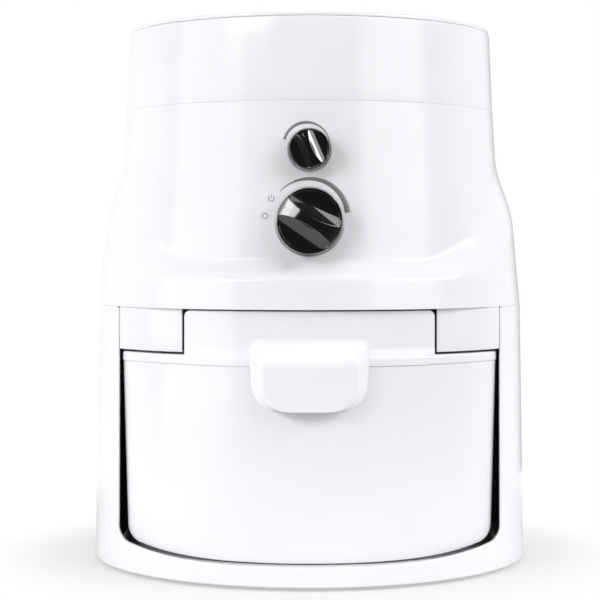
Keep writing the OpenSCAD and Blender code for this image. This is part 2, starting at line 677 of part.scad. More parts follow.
module separator_cup() color([0.9, 0.9, 0.92]) translate([0, cup_y, 0]) difference() {
    tube(cup_r, cup_r - 1.6, cup_low_z, dome_in_z - gap / 3);
    for (a = [0 : 60 : 300]) rotate(a) translate([0, -5, cup_low_z + 12]) cube([cup_r + 1, 10, 20]);
}
cup_y = duct_y - 3;
cup_low_z = dome_in_z - 62;

module separator_cap() color([0.85, 0.85, 0.88]) translate([0, cup_y, 0]) {
    translate([0, 0, cup_low_z - 1.8]) cylinder(h = 1.8, r = cup_r + 1.8);
    tube(cup_r + 1.8, cup_r + 0.2, cup_low_z - 1.8 - e, cup_low_z + 5);
}

module filter_foam() color([0.25, 0.25, 0.27]) translate([-filter_w / 2, filter_y - filter_l / 2, dome_in_z - 6.1])
    cube([filter_w, filter_l, 6]);

module filter_frame() color(grey) translate([0, filter_y, dome_in_z - 8.2]) difference() {
    translate([-filter_w / 2 - 3, -filter_l / 2 - 3, 0]) cube([filter_w + 6, filter_l + 6, 8.1]);
    translate([-filter_w / 2 - 0.1, -filter_l / 2 - 0.1, 2]) cube([filter_w + 0.2, filter_l + 0.2, 8]);
    for (i = [-1, 0, 1], j = [-1, 0, 1]) translate([i * 24 - 10, j * 22 - 9, -1]) cube([20, 18, 5]);
}

// ---- knobs and their shafts ----

// Drawn with the axis along Z, then turned so that local X is +X, local Y is +Z and the front is -Y
module on_panel(z, turn = 0) translate([0, land_y(z) - gap, z]) rotate([90, 0, 0]) rotate(turn) children();

// Pointer directions at rest, counted from +X as seen from the front
feed_rest = 150;
speed_rest = 113.3;
ring_t = 1.7;

module knob(d, out, z, turn, bore_r) {
    r = d / 2;
    h = out + land_depth - gap;
    foot_h = land_depth + 0.7;
    edge = r * 0.08;
    reach = r * 0.7;
    deep = h * scoop_depth;
    ball_r = (reach * reach + deep * deep) / (2 * deep);
    color(black) on_panel(z, turn - 90) difference() {
        rotate_extrude() polygon(concat([[0, 0], [r - 1.5, 0], [r - 1.5, foot_h], [r, foot_h]],
            [for (a = [0 : 15 : 90]) [r * 0.985 - edge + edge * cos(a), h - edge + edge * sin(a)]],
            [[0, h]]));
        for (s = [-1, 1]) translate([s * (r * grip_share + reach), 0, h - deep + ball_r])
            sphere(ball_r, $fn = 64);
        translate([0, 0, -e]) cylinder(h = nut_t + 1.6, r = 7.8, $fn = 48);
        translate([0, 0, -e]) cylinder(h = h - 4, r = bore_r, $fn = 48);
        // pointer groove
        translate([-0.5, r * 0.55, h - 0.4]) cube([1, r * 0.3, 1]);
    }
}

module knob_ring(d, z) color(grey) on_panel(z) translate([0, 0, 0.2])
    tube(d / 2 + 0.25, d / 2 - 1.45, 0, land_depth + 0.4);

module feed_knob() knob(feed_knob_d, feed_knob_out, feed_z, feed_rest, feed_shaft_r + fit_gap);
module speed_knob() knob(speed_knob_d, speed_knob_out, speed_z, speed_rest, speed_shaft_r + fit_gap);
module feed_knob_ring() knob_ring(feed_knob_d, feed_z);
module speed_knob_ring() knob_ring(speed_knob_d, speed_z);

module feed_shaft() color(steel)
    rod_y(feed_shaft_r, -(barrel_at(feed_z) + feed_knob_out - 5), -guide_y + 1, z = feed_z);
module speed_shaft() color(steel)
    rod_y(speed_shaft_r, -(barrel_at(speed_z) + speed_knob_out - 5), land_y(speed_z) + boss_t + 7, z = speed_z);

// Control body behind the panel with a threaded neck through it
module control_body(z, r, depth, bore_r) difference() {
    union() {
        rod_y(r, land_y(z) + boss_t, land_y(z) + boss_t + depth, z = z);
        rod_y(bushing_r, land_y(z) - nut_t - 0.6, land_y(z) + boss_t + 1, z = z);
        for (x = [-6, 0, 6]) translate([x - 1, land_y(z) + boss_t + 3, z - r - 5]) cube([2, 0.8, 8]);
    }
    rod_y(bore_r, land_y(z) - nut_t - 1, land_y(z) + boss_t + depth + 1, z = z);
}
module power_switch() color(black) control_body(feed_z, 14, 12, feed_shaft_r + fit_gap);
module speed_pot() color(steel) control_body(speed_z, 10, 9, speed_shaft_r + fit_gap);

module panel_nuts() color(steel) for (z = [feed_z, speed_z]) difference() {
    translate([0, land_y(z) - nut_t, z]) rotate([-90, 0, 0]) cylinder(h = nut_t, r = 7, $fn = 6);
    rod_y(bushing_r + fit_gap, land_y(z) - nut_t - 1, land_y(z) + 1, z = z);
}

// ---- feed gear: pinion, rack and the plug that opens the hopper ----

rack_half_t = rack_y - guide_y - 2.5 - gap;
gear_module = 2 * pinion_pitch_r / pinion_teeth;
backlash = 0.2;

// Involute tooth flank, from root to tip
function pinion_half(p_a, tip_r, root_r) = let (base = pinion_pitch_r * cos(p_a),
    inv_pitch = tan(p_a) * 180 / PI - p_a, half = 90 / pinion_teeth
        - backlash / 2 / pinion_pitch_r * 180 / PI)
    concat([[root_r, half + inv_pitch]], [for (i = [0 : 4]) let (r = base + (tip_r - base) * i / 4,
        c = acos(min(1, base / r))) [r, half + inv_pitch - (tan(c) * 180 / PI - c)]]);

module feed_pinion() {
    half = pinion_half(20, pinion_pitch_r + gear_module * 0.9, pinion_pitch_r - gear_module * 0.9);
    n = len(half);
    outline = [for (k = [0 : pinion_teeth - 1]) let (mid = 180 + k * 360 / pinion_teeth)
        each concat([for (p = half) [p[0] * cos(mid - p[1]), p[0] * sin(mid - p[1])]],
            [for (i = [n - 1 : -1 : 0]) [half[i][0] * cos(mid + half[i][1]), half[i][0] * sin(mid + half[i][1])]])];
    color([0.85, 0.8, 0.6]) translate([0, -rack_y + rack_half_t, feed_z]) rotate([90, 0, 0])
        linear_extrude(2 * rack_half_t) difference() {
            polygon(outline);
            circle(feed_shaft_r + fit_gap, $fn = 48);
        }
}

module feed_rack() {
    pitch = PI * gear_module;
    add = gear_module * 0.65;
    ded = gear_module * 1.15;
    low = feed_z - feed_lift - 4;
    first = -ceil((feed_lift + 2) / pitch);
    x0 = -pinion_pitch_r - ded - 5.5;
    color(steel) {
        translate([0, -rack_y + rack_half_t, 0]) rotate([90, 0, 0]) linear_extrude(2 * rack_half_t) {
            translate([x0, low]) square([5.5, arm_z + 3 - low]);
            for (k = [first : 1]) translate([-pinion_pitch_r, feed_z + (k + 0.5) * pitch])
                polygon([[-ded - e, -pitch / 4 - ded * tan(20)], [add, -pitch / 4 + add * tan(20)],
                    [add, pitch / 4 - add * tan(20)], [-ded - e, pitch / 4 + ded * tan(20)]]);
        }
        translate([x0, -rack_y - 2.5, arm_z]) cube([-x0 + 2.5, 5, 3]);
        translate([-2.5, -rack_y - 2.5, arm_z]) cube([5, rack_y - 3, 3]);
        difference() {
            translate([0, 0, arm_z]) cylinder(h = 3, r = 6.5, $fn = 48);
            translate([0, 0, arm_z - 1]) cylinder(h = 5, r = shaft_r - 1 + fit_gap, $fn = 48);
        }
    }
}

// Cone that seats in the hopper's outlet when the feed is shut
module feed_plug() {
    seat_z = outlet_z + feed_drop;
    seat_r = outlet_r - 0.25;
    stem_r = shaft_r - 1;
    color(steel) rotate_extrude() polygon([[0, arm_z - 1], [stem_r, arm_z - 1], [stem_r, arm_z + 3],
        [stem_r + 2, arm_z + 3], [stem_r + 2, arm_z + 4.5], [stem_r, arm_z + 4.5],
        [stem_r, seat_z - seat_r + stem_r], [seat_r + 3, seat_z + 3], [seat_r + 3, seat_z + 4.5],
        [0, seat_z + 4.5 + seat_r]]);
}

// Bracket on the mill chamber that guides the rack and carries the end of the feed shaft
module rack_guide() color(grey) {
    back_x = -pinion_pitch_r - gear_module * 1.15 - 5.5 - gap;
    difference() {
        union() {
            translate([back_x - 3, -guide_y - 2.5, feed_z - 12]) cube([-back_x + 13, 2.5, rim_seal_z - feed_z + 12]);
            translate([back_x - 3, -rack_y - rack_half_t, feed_z - 12]) cube([3, 2 * rack_half_t + 1, 44]);
        }
        rod_y(feed_shaft_r + fit_gap, -guide_y - 4, -guide_y + 4, z = feed_z);
    }
}

module feed_throat() color(white) difference() {
    union() {
        tube(outlet_r + 2.4, outlet_r, cover_top_z, throat_top_z);
        tube(outlet_r + 6, outlet_r, cover_top_z, cover_top_z + 2);
    }
    translate([-3.2, -outlet_r - 10, cover_top_z - 1]) cube([6.4, 14, throat_top_z - cover_top_z + 0.2]);
}

// ---- electronics ----

board_x = 60;
board_w = 48;
board_l = 68;
board_z = deck_z + 5;

module control_board() {
    color([0.1, 0.4, 0.2]) {
        translate([board_x, -board_l / 2, board_z]) cube([board_w, board_l, 1.6]);
        for (x = [5, board_w - 5], y = [5, board_l - 5]) translate([board_x + x, y - board_l / 2, deck_z])
            cylinder(h = 5 + e, r = 2.5, $fn = 24);
    }
    color([0.2, 0.2, 0.3]) {
        translate([board_x + 12, 14, board_z + 1.6 - e]) cylinder(h = 20, r = 8, $fn = 48);
        translate([board_x + 12, -18, board_z + 1.6 - e]) cylinder(h = 14, r = 6, $fn = 48);
        translate([board_x + 26, 8, board_z + 1.6 - e]) cube([16, 14, 12]);
    }
}

// Finned block that cools the speed control
module heatsink() color(steel) translate([board_x + 24, -26, board_z + 1.6]) {
    cube([18, 24, 3]);
    for (i = [0 : 5]) translate([0, i * 4.4, 0]) cube([18, 2, 18]);
}

// ---- motor ----

module corner_places() for (x = [-1, 1], y = [-1, 1]) translate([x * motor_post_xy, y * motor_post_xy, 0]) children();
module motor_outline_2d() intersection() {
    circle(stator_r);
    square(stator_w, center = true);
}

module motor_bushes() color(rubber) bush_places() tube(5.5, 2.5, deck_z, bush_top_z);

module bracket(plate_z, cup_z, bearing_z, post_z0, post_z1, through_r) difference() {
    union() {
        translate([0, 0, plate_z]) linear_extrude(bracket_t) motor_outline_2d();
        translate([0, 0, cup_z]) cylinder(h = bearing_h + 0.5, r = bearing_r + 2.5);
        corner_places() translate([0, 0, post_z0]) cylinder(h = post_z1 - post_z0, r = motor_post_r, $fn = 48);
    }
    translate([0, 0, bearing_z]) cylinder(h = bearing_h + 0.01, r = bearing_r + 0.02);
    translate([0, 0, plate_z - 20]) cylinder(h = 40, r = through_r);
    for (a = [0 : 90 : 270]) rotate(a) translate([24, 0, plate_z - 1]) cylinder(h = bracket_t + 2, r = 6, $fn = 48);
}

module bottom_bracket() color(steel) difference() {
    bracket(bush_top_z, bush_top_z, lower_bearing_z, bracket_low_top - e, core_z, shaft_r + 1.5);
    corner_places() translate([0, 0, bush_top_z - 1]) cylinder(h = 60, r = screw_r + 0.1, $fn = 48);
}
module top_bracket() color(steel) difference() {
    bracket(bracket_top_z - bracket_t, upper_bearing_z, upper_bearing_z, high_turn_z,
        bracket_top_z - bracket_t + e, shaft_r + 1.5);
    corner_places() translate([0, 0, high_turn_z - 1]) cylinder(h = bracket_top_z - high_turn_z - 0.5,
        r = screw_r + 0.1, $fn = 48);
}

module motor_screws() color(steel) corner_places() {
    translate([0, 0, bush_top_z - 2.6]) cylinder(h = 2.6, r = screw_r * 1.9, $fn = 48);
    translate([0, 0, bush_top_z - 1]) cylinder(h = bracket_top_z - bush_top_z - 2, r = screw_r, $fn = 48);
}

module ball_bearing(z) translate([0, 0, z]) difference() {
    cylinder(h = bearing_h, r = bearing_r);
    translate([0, 0, -1]) cylinder(h = bearing_h + 2, r = shaft_r + fit_gap);
    for (z1 = [-e, bearing_h - 0.4 + e]) tube(bearing_r - 1.8, shaft_r + 1.8, z1, z1 + 0.4);
}
module lower_bearing() color(steel) ball_bearing(lower_bearing_z);
module upper_bearing() color(steel) ball_bearing(upper_bearing_z);

pole_half_w = 20;
window_r = 35;
module stator_core() color(grey) translate([0, 0, core_z]) linear_extrude(core_h) difference() {
    motor_outline_2d();
    circle(armature_r + 0.7);
    difference() {
        circle(window_r);
        square([2 * pole_half_w, 4 * window_r], center = true);
    }
    for (x = [-1, 1], y = [-1, 1]) translate([x, y] * motor_post_xy) circle(screw_r + 0.1, $fn = 48);
}

// Two coils, each with a leg in either window and an end turn over and under its pole
module field_windings() {
    in_r = armature_r + 1.6;
    out_r = window_r - 1.4;
    leg_a = 12;
    leg_w = acos((pole_half_w + 0.4) / in_r) - leg_a;
    color(copper) for (side = [0, 180]) rotate(side) {
        for (a = [leg_a, 180 - leg_a - leg_w]) rotate(a + 0.5) coil_sector(in_r + 0.2, out_r - 0.2, leg_w - 1,
            core_z - end_turn_h + 0.2, high_turn_z + end_turn_h - 0.2);
        for (z = [core_z - end_turn_h, high_turn_z + 0.4]) rotate(leg_a)
            coil_sector(in_r, out_r, 180 - 2 * leg_a, z, z + end_turn_h - 0.4);
    }
}
module coil_sector(in_r, out_r, angle, z0, z1) rotate_extrude(angle = angle) translate([in_r, z0])
    square([out_r - in_r, z1 - z0]);

brush_z = commutator_z + commutator_h / 2;
module carbon_brushes() color(black) for (a = [0, 180]) rotate(a)
    translate([commutator_r + 0.2, -3, brush_z - 2.8]) cube([13, 6, 5.6]);
module brush_holders() color([0.8, 0.65, 0.3]) for (a = [0, 180]) rotate(a) difference() {
    union() {
        translate([commutator_r + 3, -4.5, brush_z - 4]) cube([18, 9, 8]);
        translate([commutator_r + 12, -4.5, bracket_low_top]) cube([4, 9, brush_z - bracket_low_top]);
    }
    translate([commutator_r + 2, -3.1, brush_z - 2.9]) cube([17, 6.2, 5.8]);
}

shaft_low_z = deck_z + 1.5;
shaft_top_z = turning_disc_z + disc_t + 6;
module motor_shaft() color(steel) translate([0, 0, shaft_low_z]) cylinder(h = shaft_top_z - shaft_low_z, r = shaft_r);

slot_r = armature_r * 0.78;
slot_hole_r = armature_r * 0.135;
module armature_core() color(grey) translate([0, 0, core_z]) linear_extrude(core_h) difference() {
    circle(armature_r);
    circle(shaft_r + 0.01);
    for (k = [0 : armature_slots - 1]) rotate(k * 360 / armature_slots) {
        translate([slot_r, 0]) circle(slot_hole_r, $fn = 24);
        translate([slot_r, -1]) square([armature_r - slot_r + 1, 2]);
    }
}
module armature_windings() color(copper) {
    for (k = [0 : armature_slots - 1]) rotate(k * 360 / armature_slots) translate([slot_r, 0, low_turn_z + 1])
        cylinder(h = core_h + 2 * end_turn_h - 2, r = slot_hole_r - 0.1, $fn = 24);
    for (z = [low_turn_z, high_turn_z + 0.2]) tube(armature_r - 1, shaft_r + 3, z, z + end_turn_h - 0.2);
}
module commutator() color(copper) translate([0, 0, commutator_z]) difference() {
    cylinder(h = commutator_h, r = commutator_r);
    translate([0, 0, -1]) cylinder(h = commutator_h + 2, r = shaft_r + 0.01);
    for (k = [0 : 2 * armature_slots - 1]) rotate(k * 180 / armature_slots)
        translate([commutator_r - 1, -0.25, -1]) cube([2, 0.5, commutator_h + 2]);
}
module cooling_fan() color(white) difference() {
    union() {
        translate([0, 0, fan_z]) cylinder(h = 1.2, r = fan_r);
        translate([0, 0, fan_z]) cylinder(h = fan_h, r = shaft_r + 4);
        for (k = [0 : fan_blades - 1]) rotate(k * 360 / fan_blades) translate([shaft_r + 3, 0, fan_z])
            rotate(-20) cube([fan_r - shaft_r - 5, 1.2, fan_h]);
    }
    translate([0, 0, fan_z - 1]) cylinder(h = fan_h + 2, r = shaft_r + 0.01);
}

// ---- mill ----

// Upright teeth on every other ring, as many as the ring has room for
module teeth_2d(start) for (ring = [start : 2 : start + 4]) let (r = first_ring_r + ring * ring_pitch,
    n = floor(2 * PI * r / 8.4)) for (k = [0 : n - 1]) rotate(k * 360 / n)
    translate([r - tooth_t / 2, -2.4]) square([tooth_t, 4.8]);

module turning_disc() color(steel) difference() {
    union() {
        translate([0, 0, turning_disc_z]) cylinder(h = disc_t, r = first_ring_r + 5.4 * ring_pitch);
        translate([0, 0, turning_disc_z - 1.2]) cylinder(h = 2, r = shaft_r + 4);
        translate([0, 0, turning_disc_z + disc_t - e]) linear_extrude(tooth_h) teeth_2d(0);
    }
    translate([0, 0, turning_disc_z - 2]) cylinder(h = disc_t + 4, r = shaft_r + 0.01);
}
module disc_nut() color(steel) translate([0, 0, turning_disc_z + disc_t]) difference() {
    cylinder(h = 4, r = shaft_r + 3.5, $fn = 6);
    translate([0, 0, -1]) cylinder(h = 6, r = shaft_r + 0.01);
}
module fixed_disc() color(steel) difference() {
    union() {
        translate([0, 0, fixed_disc_z]) cylinder(h = disc_t, r = chamber_in_r - 2);
        translate([0, 0, fixed_disc_z - tooth_h + e]) linear_extrude(tooth_h) teeth_2d(1);
    }
    translate([0, 0, fixed_disc_z - 1]) cylinder(h = disc_t + 2, r = outlet_r);
}

lug_r = 5.5;
module lug_places() for (a = [45 : 90 : 315]) rotate(a) translate([chamber_r + 1.5, 0, 0]) children();

module mill_chamber() color(steel) difference() {
    union() {
        translate([0, 0, chamber_z]) cylinder(h = chamber_h, r = chamber_r);
        translate([-duct_r - 2.5, 0, chamber_z]) cube([2 * duct_r + 5, duct_y + duct_r + 2.5, chamber_h]);
        lug_places() translate([0, 0, chamber_z + 4]) cylinder(h = chamber_h - 4, r = lug_r, $fn = 48);
        translate([-16, -guide_y, chamber_z + 1]) cube([26, 10, chamber_h - 1]);
    }
    translate([0, 0, chamber_z + chamber_wall]) cylinder(h = chamber_h, r = chamber_in_r);
    translate([-duct_r, 0, chamber_z + chamber_wall])
        cube([2 * duct_r, duct_y + duct_r, chamber_h - chamber_wall - 2.5]);
    translate([0, duct_y, chamber_z - 1]) cylinder(h = 8, r = duct_r);
    translate([0, 0, chamber_z - 1]) cylinder(h = 8, r = shaft_r + 1.5);
    lug_places() translate([0, 0, chamber_z + 7]) cylinder(h = chamber_h, r = screw_r + 0.1, $fn = 48);
}
module chamber_seal() color(rubber) tube(chamber_r - 0.9, chamber_in_r + 0.2, rim_seal_z, cover_z);
module mill_cover() color(steel) difference() {
    union() {
        translate([0, 0, cover_z]) cylinder(h = cover_t, r = chamber_r);
        lug_places() translate([0, 0, cover_z]) cylinder(h = cover_t, r = lug_r, $fn = 48);
    }
    translate([0, 0, cover_z - 1]) cylinder(h = cover_t + 2, r = outlet_r);
    lug_places() translate([0, 0, cover_z - 1]) cylinder(h = cover_t + 2, r = screw_r + 0.1, $fn = 48);
}
module chamber_screws() color(steel) lug_places() {
    translate([0, 0, cover_top_z]) cylinder(h = 2.4, r = screw_r * 1.9, $fn = 48);
    translate([0, 0, chamber_z + 8]) cylinder(h = cover_top_z - chamber_z - 7, r = screw_r, $fn = 48);
}
module flour_duct() color(white) translate([0, duct_y, 0]) {
    tube(duct_r + 2.2, duct_r, seam_z - 0.5, chamber_z);
    tube(duct_r + 9, duct_r + 1, deck_z, deck_z + 2.4);
}
module duct_gasket() color(rubber) translate([0, duct_y, 0])
    tube(duct_r + 6.1, duct_r + 2.25, raised_top_z + gap, deck_z);

base_housing();
rubber_feet();
cord_gland();
bowl_deck();
upper_housing();
rear_grille();
housing_screws();
hopper();
hopper_lid();
flour_bowl();
bowl_gasket();
bowl_lid();
separator_cup();
separator_cap();
filter_foam();
filter_frame();
feed_knob();
feed_knob_ring();
feed_shaft();
feed_pinion();
feed_rack();
feed_plug();
rack_guide();
power_switch();
speed_knob();
speed_knob_ring();
speed_shaft();
speed_pot();
panel_nuts();
control_board();
heatsink();
motor_bushes();
bottom_bracket();
top_bracket();
motor_screws();
stator_core();
field_windings();
brush_holders();
carbon_brushes();
lower_bearing();
upper_bearing();
motor_shaft();
armature_core();
armature_windings();
commutator();
cooling_fan();
turning_disc();
disc_nut();
mill_chamber();
chamber_seal();
mill_cover();
fixed_disc();
chamber_screws();
flour_duct();
duct_gasket();
feed_throat();
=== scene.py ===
"""Electric grain mill, dressed for its portrait: shells, knobs, finishes, light and camera."""
import json
from functools import partialmethod
from math import asin, cos, pi, radians, sin

import bmesh
import bpy
import numpy as np
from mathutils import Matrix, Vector

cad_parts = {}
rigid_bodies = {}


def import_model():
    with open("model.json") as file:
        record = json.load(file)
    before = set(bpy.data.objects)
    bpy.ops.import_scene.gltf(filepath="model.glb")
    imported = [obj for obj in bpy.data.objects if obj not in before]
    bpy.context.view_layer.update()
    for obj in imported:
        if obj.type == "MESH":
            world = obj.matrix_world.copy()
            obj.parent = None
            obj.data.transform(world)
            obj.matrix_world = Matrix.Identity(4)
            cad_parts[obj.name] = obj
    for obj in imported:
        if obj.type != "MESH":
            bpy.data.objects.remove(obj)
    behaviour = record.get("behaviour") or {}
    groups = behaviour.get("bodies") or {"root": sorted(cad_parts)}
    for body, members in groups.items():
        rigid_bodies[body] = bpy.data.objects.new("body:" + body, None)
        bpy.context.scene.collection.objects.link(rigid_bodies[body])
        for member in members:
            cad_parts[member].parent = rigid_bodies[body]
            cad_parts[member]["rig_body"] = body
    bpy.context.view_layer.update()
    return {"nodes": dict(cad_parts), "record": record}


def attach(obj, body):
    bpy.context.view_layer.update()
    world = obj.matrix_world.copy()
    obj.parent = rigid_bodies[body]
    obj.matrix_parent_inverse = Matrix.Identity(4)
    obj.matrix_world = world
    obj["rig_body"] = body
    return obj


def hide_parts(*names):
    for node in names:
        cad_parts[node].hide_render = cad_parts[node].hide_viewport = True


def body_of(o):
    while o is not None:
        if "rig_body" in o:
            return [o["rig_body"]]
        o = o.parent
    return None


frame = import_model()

BODY_OF = {name: body_of(obj)[0] for name, obj in frame["nodes"].items()}

# ---------------------------------------------------------------- sizes, in millimetres
# The mill stands on z 0 with its axis on x 0, y 0, and -Y is the front.
BASE_R, BASE_TOP_R, BASE_WALL = 134.5, 132.4, 3.0
BASE_Z, LIP_Z, SEAM_Z = 2.0, 13.5, 158.0
OPENING_W, OPENING_CORNER, LIP_LIFT, CORNER_TURN = 226.6, 9.0, 7.3, 12.0
FLOOR_R, LEDGE_R, HUB_R, FOOT_CIRCLE_R = 131.8, 119.4, 22.0, 112.0
GLAND_Z, GLAND_R = 30.0, 5.6
SKIRT_R, SKIRT_DRAFT = 132.2, 0.086
BARREL_R, BARREL_DRAFT = 115.3, 0.06
UPPER_TOP_Z, UPPER_WALL = 277.3, 2.8
BAND_TOP_R, BAND_TOP_Z, HOPPER_WALL = 113.2, 326.0, 2.6
BOWL_Z, BOWL_H, BOWL_WALL, BOWL_EDGE = 14.3, 111.7, 2.6, 9.0
BOWL_LOW_W, BOWL_SPREAD, FRONT_CURL, RUNNER_X = 108.7, 3.4, 2.2, 38.0
BOWL_FRONT_R, BOWL_BACK_R, BOWL_FLARE = 127.2, 116.0, 2.1
RIM_Z, RIM_H, RIM_R, RIM_W = 126.0, 5.5, 130.0, 225.0
RAISED_W, RAISED_R, RAISED_TOP, RAISED_EDGE = 144.0, 129.0, 157.0, 3.5
DUCT_Y, DUCT_R, LID_WALL = 78.0, 12.0, 2.5
PULL_ROOT, PULL_FACE, PULL_OUT = 34.0, 28.5, 10.0
PULL_LOW, PULL_TOP, PULL_CORNER, PULL_WALL = 101.0, 142.0, 15.0, 2.6
FEED_Z, SPEED_Z, LAND_DEPTH, KNOB_GAP = 208.0, 248.8, 1.8, 0.3
FEED_KNOB = dict(d=38.0, out=16.5, z=FEED_Z, turn=150.0, droop=0.3)
SPEED_KNOB = dict(d=23.3, out=12.5, z=SPEED_Z, turn=113.3, droop=0.18)
KNOB_FACE = 0.985  # share of a knob's radius that its face takes up
MERGE, TINY = 2e-6, 1e-7  # in metres: points this near become one, edges this short go


def smooth(t):
    """Ease from 0 to 1: t t (3 - 2 t), with t held between 0 and 1."""
    t = np.clip(t, 0, 1)
    return t * t * (3 - 2 * t)


def front_angle(a):
    """Angle in degrees between the direction a, counted from +X, and the front."""
    d = np.abs((a + 90) % 360)
    return np.minimum(d, 360 - d)


def barrel_at(z):
    """Barrel radius: a straight taper up to its top seam."""
    return BARREL_R + BARREL_DRAFT * (UPPER_TOP_Z - z)


def skirt_at(z):
    """Skirt radius: a straight taper up from the lower seam."""
    return SKIRT_R - SKIRT_DRAFT * (z - SEAM_Z)


def base_at(z, w):
    """Radius of the base's wall at height z and depth w below its outer face."""
    return BASE_R - (BASE_R - BASE_TOP_R) * (z - BASE_Z) / (SEAM_Z - BASE_Z) - w


def sweep_low(a):
    """Height of the shoulder's foot: low in front, eased up to 35 mm higher at the sides."""
    return SEAM_Z + 16 + 35 * smooth((front_angle(a) - 45) / 45)


def sweep_high(a):
    """Height of the shoulder's crest: low in front, eased up to 63 mm higher at the sides."""
    return SEAM_Z + 29 + 63 * smooth((front_angle(a) - 30) / 60)


def housing_r(a, z):
    """Upper housing radius: skirt below the shoulder, barrel above it, eased in between."""
    t = (z - sweep_low(a)) / (sweep_high(a) - sweep_low(a))
    return barrel_at(z) + (skirt_at(z) - barrel_at(z)) * (1 - smooth(t))


def lip_rise(x):
    """Rise of the lip's top edge above its middle: LIFT (x / w)^4 over the half width w."""
    return LIP_LIFT * (2 * np.abs(x) / OPENING_W) ** 4


def corner_path(w, r, n_edge, n_corner):
    """Lower edge of a shape of half width w, from its middle to the end of its round corner.

    The edge is (x, rise(x)). The corner is an arc of radius r that starts where the edge has
    turned by CORNER_TURN. Also gives the unit normal that points down and out of the shape.
    """
    turn = radians(CORNER_TURN)
    start = w - r + r * sin(turn)
    x = start * np.linspace(0, 1, n_edge + 1)[:-1]
    slope = 4 * lip_rise(x) / np.maximum(x, 1e-6)
    q = np.linspace(turn - pi / 2, 0, n_corner + 1)
    centre = lip_rise(start) + r * cos(turn)
    size = np.sqrt(1 + slope ** 2)
    edge, corner = (x, lip_rise(x)), (w - r + r * np.cos(q), centre + r * np.sin(q))
    edge_normal, corner_normal = (slope / size, -1 / size), (np.cos(q), np.sin(q))
    return [np.concatenate(pair) for pair in zip(edge + edge_normal, corner + corner_normal)]


def plan_r(a, front, back, half_w):
    """Radius of the bowl's plan at angle a: an arc in front, an arc behind, straight sides.

    r / (1 + (r |cos a| / w)^90)^(1/90) clips the arcs r at the half width w.
    """
    sine, cosine = np.sin(np.radians(a)), np.abs(np.cos(np.radians(a)))
    r = np.where(sine < 0, front, back + (front - back) * (1 - np.clip(sine, 0, 1)) ** 6)
    return r / (1 + (r * cosine / half_w) ** 90) ** (1 / 90)


# ---------------------------------------------------------------- points and outlines
def xyz(x, y, z):
    """Array of points whose coordinates share one grid."""
    return np.stack(np.broadcast_arrays(x, y, z), -1)


def around(r, a, z):
    """Points round the axis at angle a in degrees: (r cos a, r sin a, z)."""
    return xyz(r * np.cos(np.radians(a)), r * np.sin(np.radians(a)), z)


def on_front(x, r, z):
    """Points on the front of the cylinder of radius r: (x, -sqrt(r^2 - x^2), z)."""
    return xyz(x, -np.sqrt(r * r - x * x), z)


def rounded(corners, radii, steps=6):
    """Closed outline whose corners are arcs.

    Each arc touches both sides of its corner. Its points are the centre plus
    r (a sin((1 - t) w) + b sin(t w)) / sin w, where a and b point from the centre to the two
    touching points, w is the angle between them and t runs from 0 to 1.
    """
    c = np.asarray(corners, float)
    r = np.broadcast_to(np.maximum(radii, 1e-3), len(c)).astype(float)[:, None]
    back, on = np.roll(c, 1, 0) - c, np.roll(c, -1, 0) - c
    back /= np.linalg.norm(back, axis=1, keepdims=True)
    on /= np.linalg.norm(on, axis=1, keepdims=True)
    half = np.arccos(np.clip((back * on).sum(1, keepdims=True), -1, 1)) / 2
    half = np.minimum(half, pi / 2 - 1e-4)
    mid = back + on
    mid /= np.maximum(np.linalg.norm(mid, axis=1, keepdims=True), 1e-9)
    centre = c + mid * r / np.sin(half)
    a, b = (c + back * r / np.tan(half) - centre) / r, (c + on * r / np.tan(half) - centre) / r
    w = (pi - 2 * half)[:, None]
    t = np.linspace(0, 1, steps)[None, :, None]
    arc = (a[:, None] * np.sin((1 - t) * w) + b[:, None] * np.sin(t * w)) / np.sin(w)
    return (centre[:, None] + r[:, None] * arc).reshape(-1, 2)


def rectangle(r0, r1, z0, z1, radii, steps):
    """Closed outline of a rectangle with rounded corners."""
    return rounded([(r0, z0), (r1, z0), (r1, z1), (r0, z1)], radii, steps)


def subdivided(outline, longest):
    """Closed outline with points added on its sides, so that none is longer than given."""
    on = np.roll(outline, -1, 0)
    counts = np.maximum(1, np.ceil(np.linalg.norm(on - outline, axis=1) / longest)).astype(int)
    return np.concatenate([p + (q - p) * (np.arange(n) / n)[:, None]
                           for p, q, n in zip(outline, on, counts)])


def quads_of(rows, cols, wrap_u, wrap_v):
    """Corner numbers of the cells of a rows x columns grid, which may close round either way."""
    i = np.arange(rows if wrap_v else rows - 1)[:, None]
    j = np.arange(cols if wrap_u else cols - 1)[None, :]
    k, m = (j + 1) % cols, (i + 1) % rows
    return np.stack([i * cols + j, i * cols + k, m * cols + k, m * cols + j], -1)


def kept_cells(quads, skip):
    """The cells outside the mask, as a plain list of quads."""
    return (quads if skip is None else quads[~skip[:quads.shape[0], :quads.shape[1]]]).reshape(-1, 4)


def border_of(grid, i0, i1, j0, j1):
    """Points round a block of a grid, in order, from row i0 to row i1 and column j0 to column j1."""
    step = 1 if i1 > i0 else -1
    return np.concatenate([grid[i0, j0:j1], grid[i0:i1:step, j1],
                           grid[i1, j1:j0:-1], grid[i1:i0:-step, j0]])


